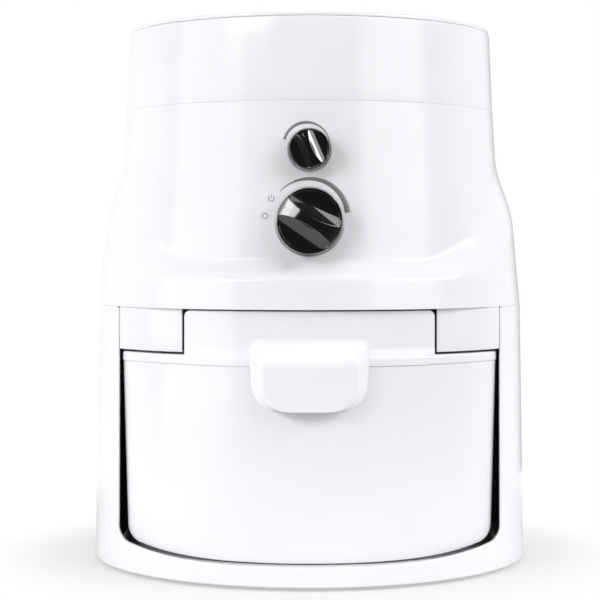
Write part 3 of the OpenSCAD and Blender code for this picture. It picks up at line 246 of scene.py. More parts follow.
# ---------------------------------------------------------------- meshes
class Shell:
    """Points and faces of one piece, in millimetres, gathered before its mesh is made."""

    def __init__(self):
        self.points, self.faces, self.count = [], [], 0

    def add(self, points, faces):
        points = np.asarray(points, float).reshape(-1, 3)
        self.faces += [tuple(int(k) + self.count for k in f) for f in faces]
        self.points.append(points)
        self.count += len(points)
        return self

    def grid(self, p, wrap_u=True, wrap_v=False, caps=(False, False), skip=None):
        """Quads between neighbours of a rows x columns grid; a cap is a fan round a ring's middle.

        Columns run with +a and rows run upwards on a face that looks outwards.
        """
        rows, cols = p.shape[:2]
        points = [p.reshape(-1, 3)]
        faces = kept_cells(quads_of(rows, cols, wrap_u, wrap_v), skip).tolist()
        column = np.arange(cols)
        ring = [column, (column + 1) % cols]
        middle = rows * cols
        for row, wanted, (a, b) in ((0, caps[0], ring[::-1]), (rows - 1, caps[1], ring)):
            if wanted:
                points.append(p[row].mean(0)[None])
                faces += np.stack([row * cols + a, row * cols + b, np.full(cols, middle)], -1).tolist()
                middle += 1
        return self.add(np.concatenate(points), faces)

    def turned(self, profile, turns=192, centre=(0, 0), a0=0.0, a1=360.0):
        """Closed (r, z) outline turned about an upright axis; a part turn gets flat ends."""
        whole = a1 - a0 == 360
        a = np.linspace(a0, a1, turns + 1)[:turns if whole else None]
        g = around(profile[:, :1], a, profile[:, 1:]) + np.array([centre[0], centre[1], 0.0])
        return self.grid(g, wrap_v=True) if whole else self.strip(g)

    def strip(self, g):
        """Closed outline carried along a path, with a flat face at each end; columns run along it."""
        ring = tuple(range(len(g)))
        self.grid(g, wrap_u=False, wrap_v=True)
        return self.add(g[:, 0], [ring]).add(g[:, -1], [ring[::-1]])

    def block(self, low, high, edge=0.3):
        """Box with its upright and level edges rounded: rings of one rounded rectangle."""
        (x0, y0, z0), (x1, y1, z1) = low, high
        edge = min(edge, (x1 - x0) * 0.3, (y1 - y0) * 0.3, (z1 - z0) * 0.3)
        t = np.linspace(0, pi / 2, 4)
        inset = np.concatenate([edge * (1 - np.sin(t)), edge * (1 - np.sin(t[::-1]))])
        z = np.concatenate([z0 + edge * (1 - np.cos(t)), z1 - edge * (1 - np.cos(t[::-1]))])
        ring = rectangle(x0, x1, y0, y1, edge, 4)
        mid, half = np.array([x0 + x1, y0 + y1]) / 2, np.array([x1 - x0, y1 - y0]) / 2
        flat = mid + (ring[None] - mid) * (1 - inset[:, None, None] / half)
        return self.grid(xyz(flat[..., 0], flat[..., 1], z[:, None]), caps=(True, True))

    def piece(self, name, body, slot, nodes=(), sharp=38.0):
        """The finished object, in metres."""
        mesh = bpy.data.meshes.new(name)
        mesh.from_pydata((np.concatenate(self.points) / 1000).tolist(), [], self.faces)
        return placed(name, mesh, body, slot, nodes, sharp)


def placed(name, mesh, body, slot, nodes, sharp, flat=None):
    """The object of a mesh, with the finish of its slot, riding on its body.

    Doubles are merged, faces within the angle flat of each other are joined where it is given, and
    the shading is smooth except at creases over the angle sharp, all in degrees.
    """
    work = bmesh.new()
    work.from_mesh(mesh)
    bmesh.ops.remove_doubles(work, verts=work.verts, dist=MERGE)
    if flat is None:
        bmesh.ops.dissolve_degenerate(work, edges=work.edges, dist=TINY)
    else:
        bmesh.ops.dissolve_limit(work, angle_limit=radians(flat), verts=work.verts, edges=work.edges)
    work.to_mesh(mesh)
    work.free()
    mesh.shade_smooth()
    mesh.set_sharp_from_angle(angle=radians(sharp))
    obj = bpy.data.objects.new(name, mesh)
    bpy.context.scene.collection.objects.link(obj)
    mesh.materials.clear()
    mesh.materials.append(FINISH[slot])
    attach(obj, body)
    if nodes:
        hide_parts(*nodes)
    return obj


def break_edges(obj, width, segments, angle):
    """Rounds a piece's edges over the angle, to the width in millimetres."""
    bevel = obj.modifiers.new("broken edges", "BEVEL")
    bevel.width, bevel.segments = width / 1000, segments
    bevel.limit_method, bevel.angle_limit = "ANGLE", radians(angle)
    bevel.harden_normals = True


def bevelled_copy(node, slot, width):
    """A CAD node's mesh, merged and with its edges broken, in place of the node."""
    name, mesh = node + "_dressed", frame["nodes"][node].data.copy()
    mesh.name = name
    break_edges(placed(name, mesh, BODY_OF[node], slot, [node], sharp=35, flat=0.6), width, 2, 35)


# ---------------------------------------------------------------- base
def wall_hole(shell, rings, z0, r):
    """Round hole through the wall at the back, between the blocks left out of its two skins.

    On each skin the points go in straight lines from the block's border to the circle, seen from
    the back, and lie on the wall: y = sqrt(R(z)^2 - x^2).
    """
    rows = []
    for ring, w, steps in zip(rings, (0, BASE_WALL), ((0, 0.4, 0.8, 1), (1, 0.8, 0.4, 0))):
        x, z = ring[:, 0], ring[:, 2] - z0
        turn, far = np.arctan2(z, x), np.hypot(x, z)
        for t in steps:
            rad = far + (r - far) * t
            px, pz = rad * np.cos(turn), z0 + rad * np.sin(turn)
            rows.append(xyz(px, np.sqrt(base_at(pz, w) ** 2 - px ** 2), pz))
    shell.grid(np.stack(rows))


def base_wall(shell):
    """Round wall with its front opening and its hole for the cord, as one closed skin.

    Each column is a straight line in (angle, height) from the foot to the edge of the wall, so
    every point lies on the cone. The edge runs along the lip, round the opening's corner, up its
    side and round the top. Its rim is a path in (d, w): d is the distance in from the edge and w
    the depth below the outer face. The angle is counted from the front, and the other half of the
    wall is the first one's mirror image.
    """
    side, top_r, levels = OPENING_W / 2, 2.0, 30
    outer_r, inner_r, foot_r = 1.1, 0.3, 1.0
    # columns along the lip, its corner, the opening's side, its top corner and the seam, and the
    # angles at the foot where these stretches start and end
    parts, foot_at = [34, 16, 30, 8, 62], [0, 52.2, 60, 68, 69, 180]

    def edge(d, w):
        u = [np.linspace(0, 1, n + 1)[:-1] for n in parts[:-1]] + [np.linspace(0, 1, parts[-1])]
        q = radians(90) * u[3]
        ex, ez, nx, nz = (v[:-1] for v in corner_path(side, OPENING_CORNER, parts[0], parts[1]))
        foot_z = LIP_Z + corner_path(side, OPENING_CORNER, 2, 2)[1][-1]
        x = [ex + d * nx, side + d + 0 * u[2], side + top_r - (top_r - d) * np.cos(q)]
        z = [LIP_Z + ez + d * nz, foot_z + (SEAM_Z - top_r - foot_z) * u[2],
             SEAM_Z - top_r + (top_r - d) * np.sin(q), SEAM_Z - d + 0 * u[4]]
        x, low = np.concatenate(x), np.concatenate(z[:3])
        phi = np.arcsin(x / base_at(low, w))
        start = asin((side + top_r) / base_at(SEAM_Z - d, w))
        return np.concatenate([phi, start + (pi - start) * u[4]]), np.concatenate(z)

    knots = np.cumsum([0] + parts)
    knots[-1] -= 1
    foot = np.interp(np.arange(sum(parts)), knots, np.radians(foot_at))
    foot[:parts[0]] = edge(0, 0)[0][:parts[0]]
    rows = []

    def row(phi, z, w):
        phi = np.concatenate([phi, -phi[1:-1][::-1]])
        z = np.concatenate([z, z[1:-1][::-1]])
        r = base_at(z, w)
        rows.append(xyz(r * np.sin(phi), -r * np.cos(phi), z))

    def skin(d, w, steps):
        """Levels of one face, from the foot at t 0 to the edge at t 1."""
        phi, z = edge(d, w)
        for t in steps:
            row(foot + (phi - foot) * t, BASE_Z + foot_r + (z - BASE_Z - foot_r) * t, w)

    q = np.linspace(0, pi / 2, 6)
    rise, fall = 1 - np.cos(q), 1 - np.sin(q)
    for h, w in zip(foot_r * fall, BASE_WALL - foot_r * rise):
        row(foot, BASE_Z + h + 0 * foot, w)
    for h, w in zip(foot_r * rise, foot_r * fall):
        row(foot, BASE_Z + h + 0 * foot, w)
    first = len(rows)
    skin(outer_r, 0, np.linspace(0, 1, levels)[1:])
    for d, w in zip(outer_r * fall[1:], outer_r * rise[1:]):
        row(*edge(d, w), w)
    for d, w in zip(inner_r * rise, BASE_WALL - inner_r * fall):
        row(*edge(d, w), w)
    skin(inner_r, BASE_WALL, np.linspace(1, 0, levels)[1:-1])

    # a block of cells is left out of both skins at the back, round the hole for the cord
    g, back, half, low, high = np.stack(rows), sum(parts) - 1, 3, 2, 7
    skip, rings = np.zeros(g.shape[:2], bool), []
    for i0, i1 in ((first + low, first + high), (len(rows) - low - 1, len(rows) - high - 1)):
        skip[min(i0, i1):max(i0, i1), back - half:back + half] = True
        rings.append(border_of(g, i0, i1, back - half, back + half))
    shell.grid(g, wrap_v=True, skip=skip)
    wall_hole(shell, rings, GLAND_Z, GLAND_R)


def base_housing():
    """Wall, bay floor, ledge for the deck, rails, ribs and foot bosses."""
    shell, floor_z, low_z = Shell(), LIP_Z - 2.9, BASE_Z + 1
    base_wall(shell)
    shell.turned(rectangle(0, FLOOR_R, LIP_Z - 3, LIP_Z - 0.05, 1e-3, 2))
    ledge = rectangle(LEDGE_R, 130.4, SEAM_Z - 4, SEAM_Z - 0.1, 0.5, 4)
    shell.turned(ledge, 150, a0=-24.6, a1=204.6)
    rail_x, half = 112.2, 1.2  # rails and ribs have the same thickness
    for x in (-rail_x, rail_x):
        shell.block((x - half, -56, LIP_Z - 0.5), (x + half, 50, LIP_Z + 6), 0.9)
    for a in np.radians(np.arange(22.5, 360, 45)):
        rib = Shell().block((HUB_R - 2, -half, low_z), (FLOOR_R - 0.2, half, floor_z))
        turn = np.array([[cos(a), sin(a), 0], [-sin(a), cos(a), 0], [0, 0, 1]])
        shell.add(rib.points[0] @ turn, rib.faces)
    shell.turned(rectangle(HUB_R - 2.4, HUB_R, low_z, floor_z, 0.3, 3), 64)
    boss = rectangle(3.6, 11, BASE_Z + 2, floor_z, 0.3, 3)
    for a in np.radians([45, 135, 225, 315]):
        shell.turned(boss, 48, centre=(FOOT_CIRCLE_R * cos(a), FOOT_CIRCLE_R * sin(a)))
    shell.piece("base_housing_shell", "machine", "white_plastic", ["base_housing"])


def shoulder_fronts():
    """Front walls of the two shoulder blocks beside the bowl lid, carried along x.

    The outline lies in (distance from the front, z). At x the front has the radius
    r = near + (far - near) t, where t goes from 0 beside the bowl lid to 1 beside the base's wall,
    less a quarter circle's drop at both ends, and y = -sqrt(r^2 - x^2).
    """
    edge, back_r, depth, foot, top = 0.7, 126.0, 9, SEAM_Z - 25.15, SEAM_Z - 0.1
    (x0, near_r), (x1, far_r) = (73.4, 128.15), (113.25, BASE_TOP_R - 0.2)
    outline = rectangle(-depth, 0, foot, top, edge, 6)
    q = edge * (1 - np.cos(np.linspace(0, pi / 2, 7)))
    x = np.concatenate([x0 + q[:-1], np.linspace(x0 + edge, x1 - edge, 33), (x1 - q[:-1])[::-1]])
    inset = np.clip(edge - np.minimum(x - x0, x1 - x), 0, edge)
    front = near_r + (far_r - near_r) * (x - x0) / (x1 - x0) - (edge - np.sqrt(edge ** 2 - inset ** 2))
    right = on_front(x, np.maximum(front[None] + outline[:, :1], back_r), outline[:, 1:])
    shell = Shell().strip(right).strip((right * np.array([-1, 1, 1]))[:, ::-1])
    shell.piece("shoulder_fronts", "machine", "white_plastic")


# ---------------------------------------------------------------- upper housing and hopper
def land(shell, ring, z0, r):
    """Round flat land sunk in the barrel, joined to the block of the grid that it replaces.

    Between the block's border and the circle the points keep the direction from the land's centre
    and lie on the barrel: y = -sqrt(R(z)^2 - x^2). Inside, the depth eases down to the flat.
    """
    x, z, flat = ring[:, 0], ring[:, 2] - z0, -(barrel_at(z0) - LAND_DEPTH)
    turn, far = np.arctan2(z, x), np.hypot(x, z)

    def row(rad, drop):
        px, pz = rad * np.cos(turn), rad * np.sin(turn)
        p = on_front(px, barrel_at(z0 + pz), z0 + pz)
        p[:, 1] += (flat - p[:, 1]) * drop
        return p

    edge = ((0.45, 0.0), (0.18, 0.06), (0.05, 0.2), (0.0, 0.45), (0.0, 1.0))
    rows = [row(far + (r + edge[0][0] - far) * t, 0) for t in np.linspace(0, 1, 7)[:-1]]
    rows += [row(r + k, drop) for k, drop in edge]
    rows += [row(r * k, 1) for k in (0.97, 0.8, 0.4, 0.1)]
    shell.grid(np.stack(rows), caps=(False, True))


def upper_housing():
    """Barrel that flares through a swept shoulder into a skirt, with lands for the knobs.

    Column a, row s: height seam + (foot - seam) s up to 1, foot + (crest - foot)(s - 1) up to 2,
    crest + (top - crest)(s - 2) up to 3; radius from housing_r. A block of cells is left out at
    the back for the grille, and one round each knob.
    """
    a = np.concatenate([np.arange(-103, -76, 1.0), np.arange(-76, 256, 2.0)])
    grille_low, grille_high, grille_a, crest_z = 8 / 51, 38 / 51, (64, 116), sweep_high(-90)
    # blocks round the knobs: lower and upper height, half the width in degrees and the knob
    blocks = ((crest_z, 229, 12, FEED_KNOB), (234, 264, 8, SPEED_KNOB))

    def front_row(z):
        """Row of height z over the middle of the front."""
        return 2 + (z - crest_z) / (UPPER_TOP_Z - crest_z)

    (feed_low, feed_high), (speed_low, speed_high) = (map(front_row, block[:2]) for block in blocks)
    s = np.concatenate([[0, 0.02, grille_low, 0.3, 0.45, 0.6, grille_high, 0.87],
                        np.linspace(1, 2, 22)[:-1], np.linspace(feed_low, feed_high, 13),
                        np.linspace(speed_low, speed_high, 9), np.linspace(speed_high, 3, 5)[1:]])
    foot, crest, t = sweep_low(a)[None], sweep_high(a)[None], s[:, None]
    z = np.where(t <= 1, SEAM_Z + (foot - SEAM_Z) * t,
                 np.where(t <= 2, foot + (crest - foot) * (t - 1), crest + (UPPER_TOP_Z - crest) * (t - 2)))
    g = around(housing_r(a[None], z), a, z)
    skip = np.zeros(z.shape, bool)
    i0, i1 = (np.argmin(abs(s - k)) for k in (grille_low, grille_high))
    skip[i0:i1, (a >= grille_a[0]) & (a < grille_a[1])] = True
    shell, lands = Shell(), []
    for low, high, half, sizes in blocks:
        i0, i1 = (np.argmin(abs(s - front_row(k))) for k in (low, high))
        j0, j1 = (np.argmin(abs(a + 90 + k)) for k in (half, -half))
        skip[i0:i1, j0:j1] = True
        lands.append((border_of(g, i0, i1, j0, j1), sizes["z"], sizes["d"] / 2 + 0.8))
    shell.grid(g, skip=skip)
    for ring, z0, r in lands:
        land(shell, ring, z0, r)
    obj = shell.piece("upper_housing_shell", "machine", "white_plastic", ["upper_housing"], sharp=30)
    wall = obj.modifiers.new("wall", "SOLIDIFY")
    wall.thickness, wall.offset = UPPER_WALL / 1000, -1
    break_edges(obj, 0.6, 3, 50)
    posts, post, circle = Shell(), rectangle(1.7, 5.6, SEAM_Z + 3, SEAM_Z + 19, 0.4, 4), 124.8
    for a in np.radians([-15, 40, 140, 195]):
        posts.turned(post, 40, centre=(circle * cos(a), circle * sin(a)))
    posts.piece("upper_housing_posts", "machine", "white_plastic")


def hopper():
    """Band and grain funnel, turned from one outline."""
    spigot, band_in, funnel = BARREL_R - UPPER_WALL - 0.2, BAND_TOP_R - HOPPER_WALL, BAND_TOP_Z - 9
    outlet, outlet_z, throat = 14.0, 278.5, 275.5
    outline = [(BARREL_R - 0.05, UPPER_TOP_Z), (BAND_TOP_R, BAND_TOP_Z), (band_in, BAND_TOP_Z),
               (band_in, funnel), (outlet, outlet_z), (outlet, throat), (outlet + HOPPER_WALL, throat),
               (outlet + HOPPER_WALL, outlet_z - 1.3), (band_in, funnel - 2.9),
               (spigot - HOPPER_WALL, UPPER_TOP_Z - 5), (spigot, UPPER_TOP_Z - 5), (spigot, UPPER_TOP_Z)]
    radii = [0.5, 0.9, 0.7, 4, 2.5, 0.4, 0.4, 1.5, 4, 0.5, 0.5, 0.2]
    shell = Shell().turned(subdivided(rounded(outline, radii, 7), 8), 224)
    shell.piece("hopper_shell", "machine", "white_plastic", ["hopper"])


def hopper_lid():
    """Flanged disc with a plug rim and a shallow step round its top."""
    r, z, plug = BAND_TOP_R - 0.7, BAND_TOP_Z + 0.2, BAND_TOP_R - HOPPER_WALL - 0.3
    plug_in, plug_low, top, dish = plug - 2.6, z - 6, z + 2.4, z + 1.4
    outline = [(0, z), (plug_in, z), (plug_in, plug_low), (plug, plug_low), (plug, z), (r, z), (r, top),
               (r - 8, top), (r - 12, dish), (0, dish)]
    radii = [0, 0.6, 0.8, 0.8, 0.2, 0.5, 1.2, 3, 3, 0]
    shell = Shell().turned(rounded(outline, radii, 6), 224)
    shell.piece("hopper_lid_shell", "lid", "white_plastic", ["hopper_lid"])


# ---------------------------------------------------------------- bowl
def bowl_angles():
    """Angles round the bowl, closer together where its arcs meet its sides and at its foot's corners."""
    even = np.arange(0, 360, 2.0)
    near = np.concatenate([c + np.arange(-5, 5.1, 0.4) for c in (-29.6, 209.6, 16, 164)])
    foot = np.concatenate([c + np.arange(-18, 18.1, 0.5) for c in (-50, 230)])
    return np.unique(np.round(np.concatenate([even, near % 360, foot % 360]), 2))


def plan_ring(z, front, back, half_w):
    """One level ring of the bowl's plan."""
    a = bowl_angles()
    return around(plan_r(a, front, back, half_w), a, z)


def bowl_ring(z, inset, side, front):
    """One ring of the bowl at height z, drawn in by inset, and by more at its sides and front.

    From foot to rim the bowl flares at the front and back and spreads at its sides.
    """
    t = (z - BOWL_Z) / BOWL_H
    return plan_ring(z, BOWL_FRONT_R + BOWL_FLARE * t - inset - front,
                     BOWL_BACK_R - BOWL_FLARE * (1 - t) - inset - 4 * front,
                     BOWL_LOW_W + BOWL_SPREAD * t - inset - side)


def flour_bowl():
    """Bowl whose foot follows the lip's edge, with a rounded rim and two runners.

    Each ring of the foot is a level line of the bottom: at rise h its sides have come in to the
    x of the corner path there, and its front by C (1 - sqrt(1 - (1 - h / R)^2)).
    """
    x, rise = (v[8:] for v in corner_path(BOWL_LOW_W, BOWL_EDGE, 26, 14)[:2])
    curl = FRONT_CURL * (1 - np.sqrt(1 - (1 - np.clip(rise / BOWL_EDGE, 0, 1)) ** 2))
    lip_r, q = 0.8, np.linspace(0, pi / 2, 5)

    def foot(z, inset):
        return [(z + h, inset, BOWL_LOW_W - w, c) for w, h, c in zip(x, rise, curl)]

    path = foot(BOWL_Z, 0)
    path += [(z, 0, 0, 0) for z in (50, 75, 100, 115, RIM_Z - 0.9)]
    path += [(RIM_Z - lip_r * (1 - sin(v)), lip_r * (1 - cos(v)), 0, 0) for v in q]
    path += [(RIM_Z - lip_r * (1 - cos(v)), BOWL_WALL - lip_r * (1 - sin(v)), 0, 0) for v in q]
    path += [(z, BOWL_WALL, 0, 0) for z in (115, 90, 60, 40)]
    path += foot(BOWL_Z + BOWL_WALL, BOWL_WALL)[::-1]
    shell = Shell().grid(np.stack([bowl_ring(*row) for row in path]), caps=(True, True))
    for at in (-RUNNER_X, RUNNER_X):
        shell.block((at - 3, -86, LIP_Z + 0.3), (at + 3, 74, BOWL_Z + 1.6), 0.5)
    shell.piece("flour_bowl_shell", "bowl", "white_plastic", ["flour_bowl"])


# ---------------------------------------------------------------- the bowl's lid
def walled(shell, patches, wall):
    """Closed skin with a wall behind it.

    A patch is a grid of points, a mask of the cells left out (or None) and whether it closes
    round its columns. Equal points are merged, each point's twin lies one wall inwards along the
    mean normal of its faces, and every open border is joined to its twin.
    """
    points, quads, n = [], [], 0
    for p, skip, wrap in patches:
        rows, cols = p.shape[:2]
        quads.append(kept_cells(quads_of(rows, cols, wrap, False), skip) + n)
        points.append(p.reshape(-1, 3))
        n += rows * cols
    points, quads = np.concatenate(points), np.concatenate(quads)
    _, first, same = np.unique(np.round(points, 3), axis=0, return_index=True, return_inverse=True)
    points, quads = points[first], same.reshape(-1)[quads]
    a, b, c, d = (points[quads[:, k]] for k in range(4))
    face, normal = np.cross(c - a, d - b), np.zeros_like(points)
    for k in range(4):
        np.add.at(normal, quads[:, k], face)
    normal /= np.maximum(np.linalg.norm(normal, axis=1, keepdims=True), 1e-12)
    edges = np.concatenate([quads[:, [k, (k + 1) % 4]] for k in range(4)])
    _, where, count = np.unique(np.sort(edges, 1), axis=0, return_inverse=True, return_counts=True)
    border = edges[(count[where.reshape(-1)] == 1) & (edges[:, 0] != edges[:, 1])]
    m = len(points)
    rim = np.stack([border[:, 1], border[:, 0], border[:, 0] + m, border[:, 1] + m], -1)
    shell.add(np.concatenate([points, points - normal * wall]),
              np.concatenate([quads, quads[:, ::-1] + m, rim]).tolist())


def masked(cells):
    """A mask of cells, widened by one row and column to the grid's own size."""
    return np.pad(cells, ((0, 1), (0, 1)))


def round_hole(ring, centre, r, levels=4):
    """Patch between a block's border and a circle: straight lines towards the circle's centre."""
    flat = ring[:, :2] - centre
    circle = centre + r * flat / np.linalg.norm(flat, axis=1, keepdims=True)
    t = np.linspace(0, 1, levels)[:, None, None]
    xy = ring[None, :, :2] * (1 - t) + circle[None] * t
    return xyz(xy[..., 0], xy[..., 1], ring[None, :, 2])


def lid_front(x_eff, z):
    """Front of the lid with its pull, at column x_eff and height z.

    The pull swells out of the cylinder by T F, where T eases across the pull's side from its root
    to its face and F eases down from the pull's top to the rim. Below the centre of the pull's
    corner a column follows the corner's arc, x - c + sqrt(c^2 - (zc - z)^2). Beside the pull the
    columns close up towards the outline W(z), which has a round corner at the top.
    """
    u, half_w = np.abs(x_eff), RAISED_W / 2
    c, zc, e = PULL_CORNER, PULL_LOW + PULL_CORNER, RAISED_EDGE
    narrow = 1 - 0.03 * np.clip((132 - z) / 16, 0, 1)
    drop = c - np.sqrt(c * c - np.clip(zc - z, 0, c) ** 2)
    x = np.where(u < PULL_FACE, u * (PULL_FACE * narrow - drop) / PULL_FACE, u * narrow - drop)
    outline = half_w - e + np.sqrt(e * e - np.clip(z - RAISED_TOP + e, 0, e) ** 2)
    beside = np.clip((u - PULL_ROOT) / (half_w - PULL_ROOT), 0, 1)
    x = np.where(u > PULL_ROOT, PULL_ROOT * narrow + (outline - PULL_ROOT * narrow) * beside, x)
    side = np.clip((PULL_ROOT - u) / (PULL_ROOT - PULL_FACE + 2.2), 0, 1)
    swell = np.where(side < 0.5, 0.5 * (2 * side) ** 1.15, 1 - 0.5 * (2 - 2 * side) ** 1.9)
    fall = 1 - smooth((z - RIM_Z) / (PULL_TOP - RIM_Z))
    # the root's radius is larger low down, less so below the rim and at the outer corners
    root = RAISED_R + 1.03 * (1 - smooth((z - RIM_Z - 2) / 9)) - 0.43 * smooth((RIM_Z - z) / 1.5)
    root = root - 0.6 * smooth((u - 66) / 5) * (1 - smooth((z - 130) / 1.5))
    return on_front(np.sign(x_eff) * x, root + (RAISED_R + PULL_OUT - root) * swell * fall, z)


def bowl_lid_front():
    """Front of the raised middle and the hollow pull, one skin with a wall behind it."""
    half = np.concatenate([np.linspace(0, 22, 12), np.linspace(23, PULL_ROOT, 23), np.linspace(36, 66, 12),
                           np.linspace(67, RAISED_W / 2, 6)])
    u = np.concatenate([-half[:0:-1], half])
    q = np.linspace(0, pi / 2, 8)
    edge_z = RAISED_TOP - RAISED_EDGE
    z = np.concatenate([PULL_LOW + PULL_CORNER * (1 - np.cos(q)), np.linspace(118, 124, 4),
                        [124.6, 125.2, 125.6], np.linspace(RIM_Z, PULL_TOP, 27),
                        np.linspace(143.5, edge_z, 6), RAISED_TOP - RAISED_EDGE * (1 - np.sin(q[1:]))])
    low, wide = z[:-1, None] < RIM_Z - 1e-6, np.abs(u[None, :-1] + u[None, 1:]) / 2 > PULL_ROOT
    shell = Shell()
    walled(shell, [(lid_front(u[None, :], z[:, None]), masked(low & wide), False)], PULL_WALL)
    obj = shell.piece("bowl_lid_front", "bowl", "white_plastic", ["bowl_lid"], sharp=40)
    break_edges(obj, 0.7, 4, 55)


def rim_plate(shell):
    """Rim plate, carried round the plan with its middle open, and the skirt inside the bowl's rim."""
    top, steps = RIM_Z + RIM_H, 7
    front_r, back_r, side_w = BOWL_FRONT_R + BOWL_FLARE, BOWL_BACK_R, BOWL_LOW_W + BOWL_SPREAD
    outer = rounded([(0, RIM_Z), (0, top), (12, top), (12, RIM_Z)], [0.7, 1.5, 0, 0], steps)
    rows = [plan_ring(z, RIM_R - i, back_r + 1.5 - i, RIM_W / 2 - i) for i, z in outer[:2 * steps]]
    rows += [plan_ring(z, 121.5, 103, 68.5) for z in (top, RIM_Z)]
    skirt = rectangle(5.7, 3.2, RIM_Z - 5, RIM_Z + 1, 0.6, 4)
    shell.grid(np.stack(rows), wrap_v=True)
    rows = [plan_ring(z, front_r - i, back_r - i, side_w - i) for i, z in skirt]
    shell.grid(np.stack(rows), wrap_v=True)


def raised_back(x, out=0.0):
    """Back of the raised middle, flat behind and round towards its sides, moved back by out."""
    return np.minimum(108 + out, np.sqrt((118.6 + out) ** 2 - x * x))


def bowl_lid_body():
    """Rim plate, skirt, the tunnel of the raised middle with its slots, its back and the boss."""
    shell = Shell()
    rim_plate(shell)

    # tunnel: the raised middle's sides, long edges and top, laid out along their outline
    w, t, e = RAISED_W / 2 - 0.03, RAISED_TOP - 0.05, RAISED_EDGE
    arc, low = np.linspace(0, pi / 2, 8), RIM_Z + RIM_H - 1.5
    flat = np.array([0, 2, 7, 11, 15, 16, 20, 25, 29, 40, 52, 62])
    x_half = np.concatenate([flat, w - e + e * np.sin(arc), [w, w]])
    z_half = np.concatenate([t + 0 * flat, t - e + e * np.cos(arc), [145, low]])
    x, z = np.concatenate([x_half[:0:-1], -x_half]), np.concatenate([z_half[:0:-1], z_half])
    slot_w, pitch, slot_y0, slot_y1 = 4, 9, -64, -6
    half, n = 15, 8  # half the width of the block round the duct's hole, and its rows
    y = np.concatenate([[-96, -80, slot_y0, -50, -35, -20, slot_y1, 15, 40],
                        np.linspace(DUCT_Y - half, DUCT_Y + half, n + 1)])[:, None] + 0 * x
    p = xyz(x, np.concatenate([-np.sqrt(128.5 ** 2 - x * x)[None], y, raised_back(x)[None]])[::-1], z)

    # the cells left out: seven slots for the vents, and the block
    mid_x, mid_y, _ = np.moveaxis((p[:-1, :-1] + p[1:, 1:]) / 2, -1, 0)
    slot = (np.abs((mid_x + pitch / 2) % pitch - pitch / 2) < slot_w / 2) & (np.abs(mid_x) < 3.5 * pitch)
    slot &= (mid_y > slot_y0) & (mid_y < slot_y1)
    block = (np.abs(mid_x) < half) & (np.abs(mid_y - DUCT_Y) < half)
    j0, j1 = np.argmin(abs(x - half)), np.argmin(abs(x + half))
    hole = round_hole(border_of(p, 1, n + 1, j0, j1), np.array([0, DUCT_Y]), DUCT_R)
    walled(shell, [(p, masked(slot | block), False), (hole, None, True)], LID_WALL)

    # back of the raised middle, and the boss round the duct's hole
    up = np.concatenate([np.linspace(low, t - e, 5), t - e + e * np.sin(arc[1:])])
    half_w = w - e + np.sqrt(np.maximum(e * e - np.clip(up - t + e, 0, e) ** 2, 0))
    x = -np.linspace(-1, 1, 41)[None] * half_w[:, None]
    p = xyz(x, raised_back(x, 0.02), up[:, None])
    walled(shell, [(p, None, False)], LID_WALL)
    shell.turned(rectangle(DUCT_R, DUCT_R + 3, 148.5, 154.6, 0.4, 3), 64, centre=(0, DUCT_Y))
    shell.piece("bowl_lid_body", "bowl", "white_plastic", ["bowl_lid"])


# ---------------------------------------------------------------- knobs and marks
def on_land(x, y, h, z, turn=90.0):
    """Local points (x, y) at height h over a knob's foot, set on the land at height z.

    Local Y points up at turn 90 and swings with the knob; h runs out of the housing, along -Y.
    """
    c, s = cos(radians(turn - 90)), sin(radians(turn - 90))
    foot_y = -(barrel_at(z) - LAND_DEPTH) - KNOB_GAP
    return xyz(x * c - y * s, foot_y - h, z + (x * s + y * c))


def knob_height(out):
    """Height of a knob from its foot in the land to the top of its bar."""
    return out + LAND_DEPTH - KNOB_GAP


def bar_top(r, h, droop, y, rho):
    """Height of a knob's bar: h - r (e (y / r)^2 + 0.02 rho^2), so it droops by e r to its ends."""
    return h - r * (droop * (y / r) ** 2 + 0.02 * rho ** 2)


def scoop_top(r, h, droop, x, y):
    """Height of the finger scoops: s u (1 - u / (2 w)) deep at u from the bar, up to the reach w."""
    slope, reach, bar_half = 1.1, 0.5 * r, 0.126 * r
    u = np.clip(np.abs(x) - bar_half, 0, reach)
    return h - r * (droop - 0.18) * (y / r) ** 2 - slope * u * (1 - u / (2 * reach))


def knob(name, body, node, d, out, z, turn, droop):
    """Knob with a grip bar between two finger scoops, as a height field over a polar grid.

    Along the bar is local Y and across it local X. The face is the lower one of the bar's domed
    top and the scoops, so the bar is narrow in the middle. Near the border the scoops come up again.
    """
    r, h, scale, foot = d / 2, knob_height(out), d / 38, LAND_DEPTH + 0.7
    face_r, edge, level = r * KNOB_FACE, r * 0.05, 0.935
    rad = np.concatenate([np.linspace(0, level, 72) * face_r,
                          face_r - edge * (1 - np.sin(np.linspace(0.12, pi / 2, 9)))])
    a = np.radians(np.arange(288) * 360 / 288)
    x, y = rad[:, None] * np.cos(a), rad[:, None] * np.sin(a)
    rho = np.hypot(x, y) / face_r
    bar, scoops = bar_top(r, h, droop, y, rho), scoop_top(r, h, droop, x, y)
    fall = np.maximum(bar - scoops, 0) * smooth((0.985 - rho) / 0.075)
    drop = edge * (1 - np.sqrt(np.clip(1 - ((rad - (face_r - edge)) / edge) ** 2, 0, 1)))
    top = bar - np.where(rad > level * face_r, drop, 0)[:, None] - fall
    side = np.array([(r - 1.5, 0.0), (r - 1.5, foot - 0.25), (r - 1.3, foot), (r - 0.35, foot),
                     (r - 0.1, foot + 0.1), (r, foot + 0.4), (r * 0.997, foot + 3 * scale),
                     (r * 0.992, foot + 6 * scale)])
    x = np.concatenate([side[:, :1] * np.cos(a), x[::-1]])
    y = np.concatenate([side[:, :1] * np.sin(a), y[::-1]])
    g = on_land(x, y, np.concatenate([side[:, 1:] + 0 * a, top[::-1]]), z, turn)
    Shell().grid(g, caps=(True, False)).piece(name, body, "black_plastic", [node], sharp=42)


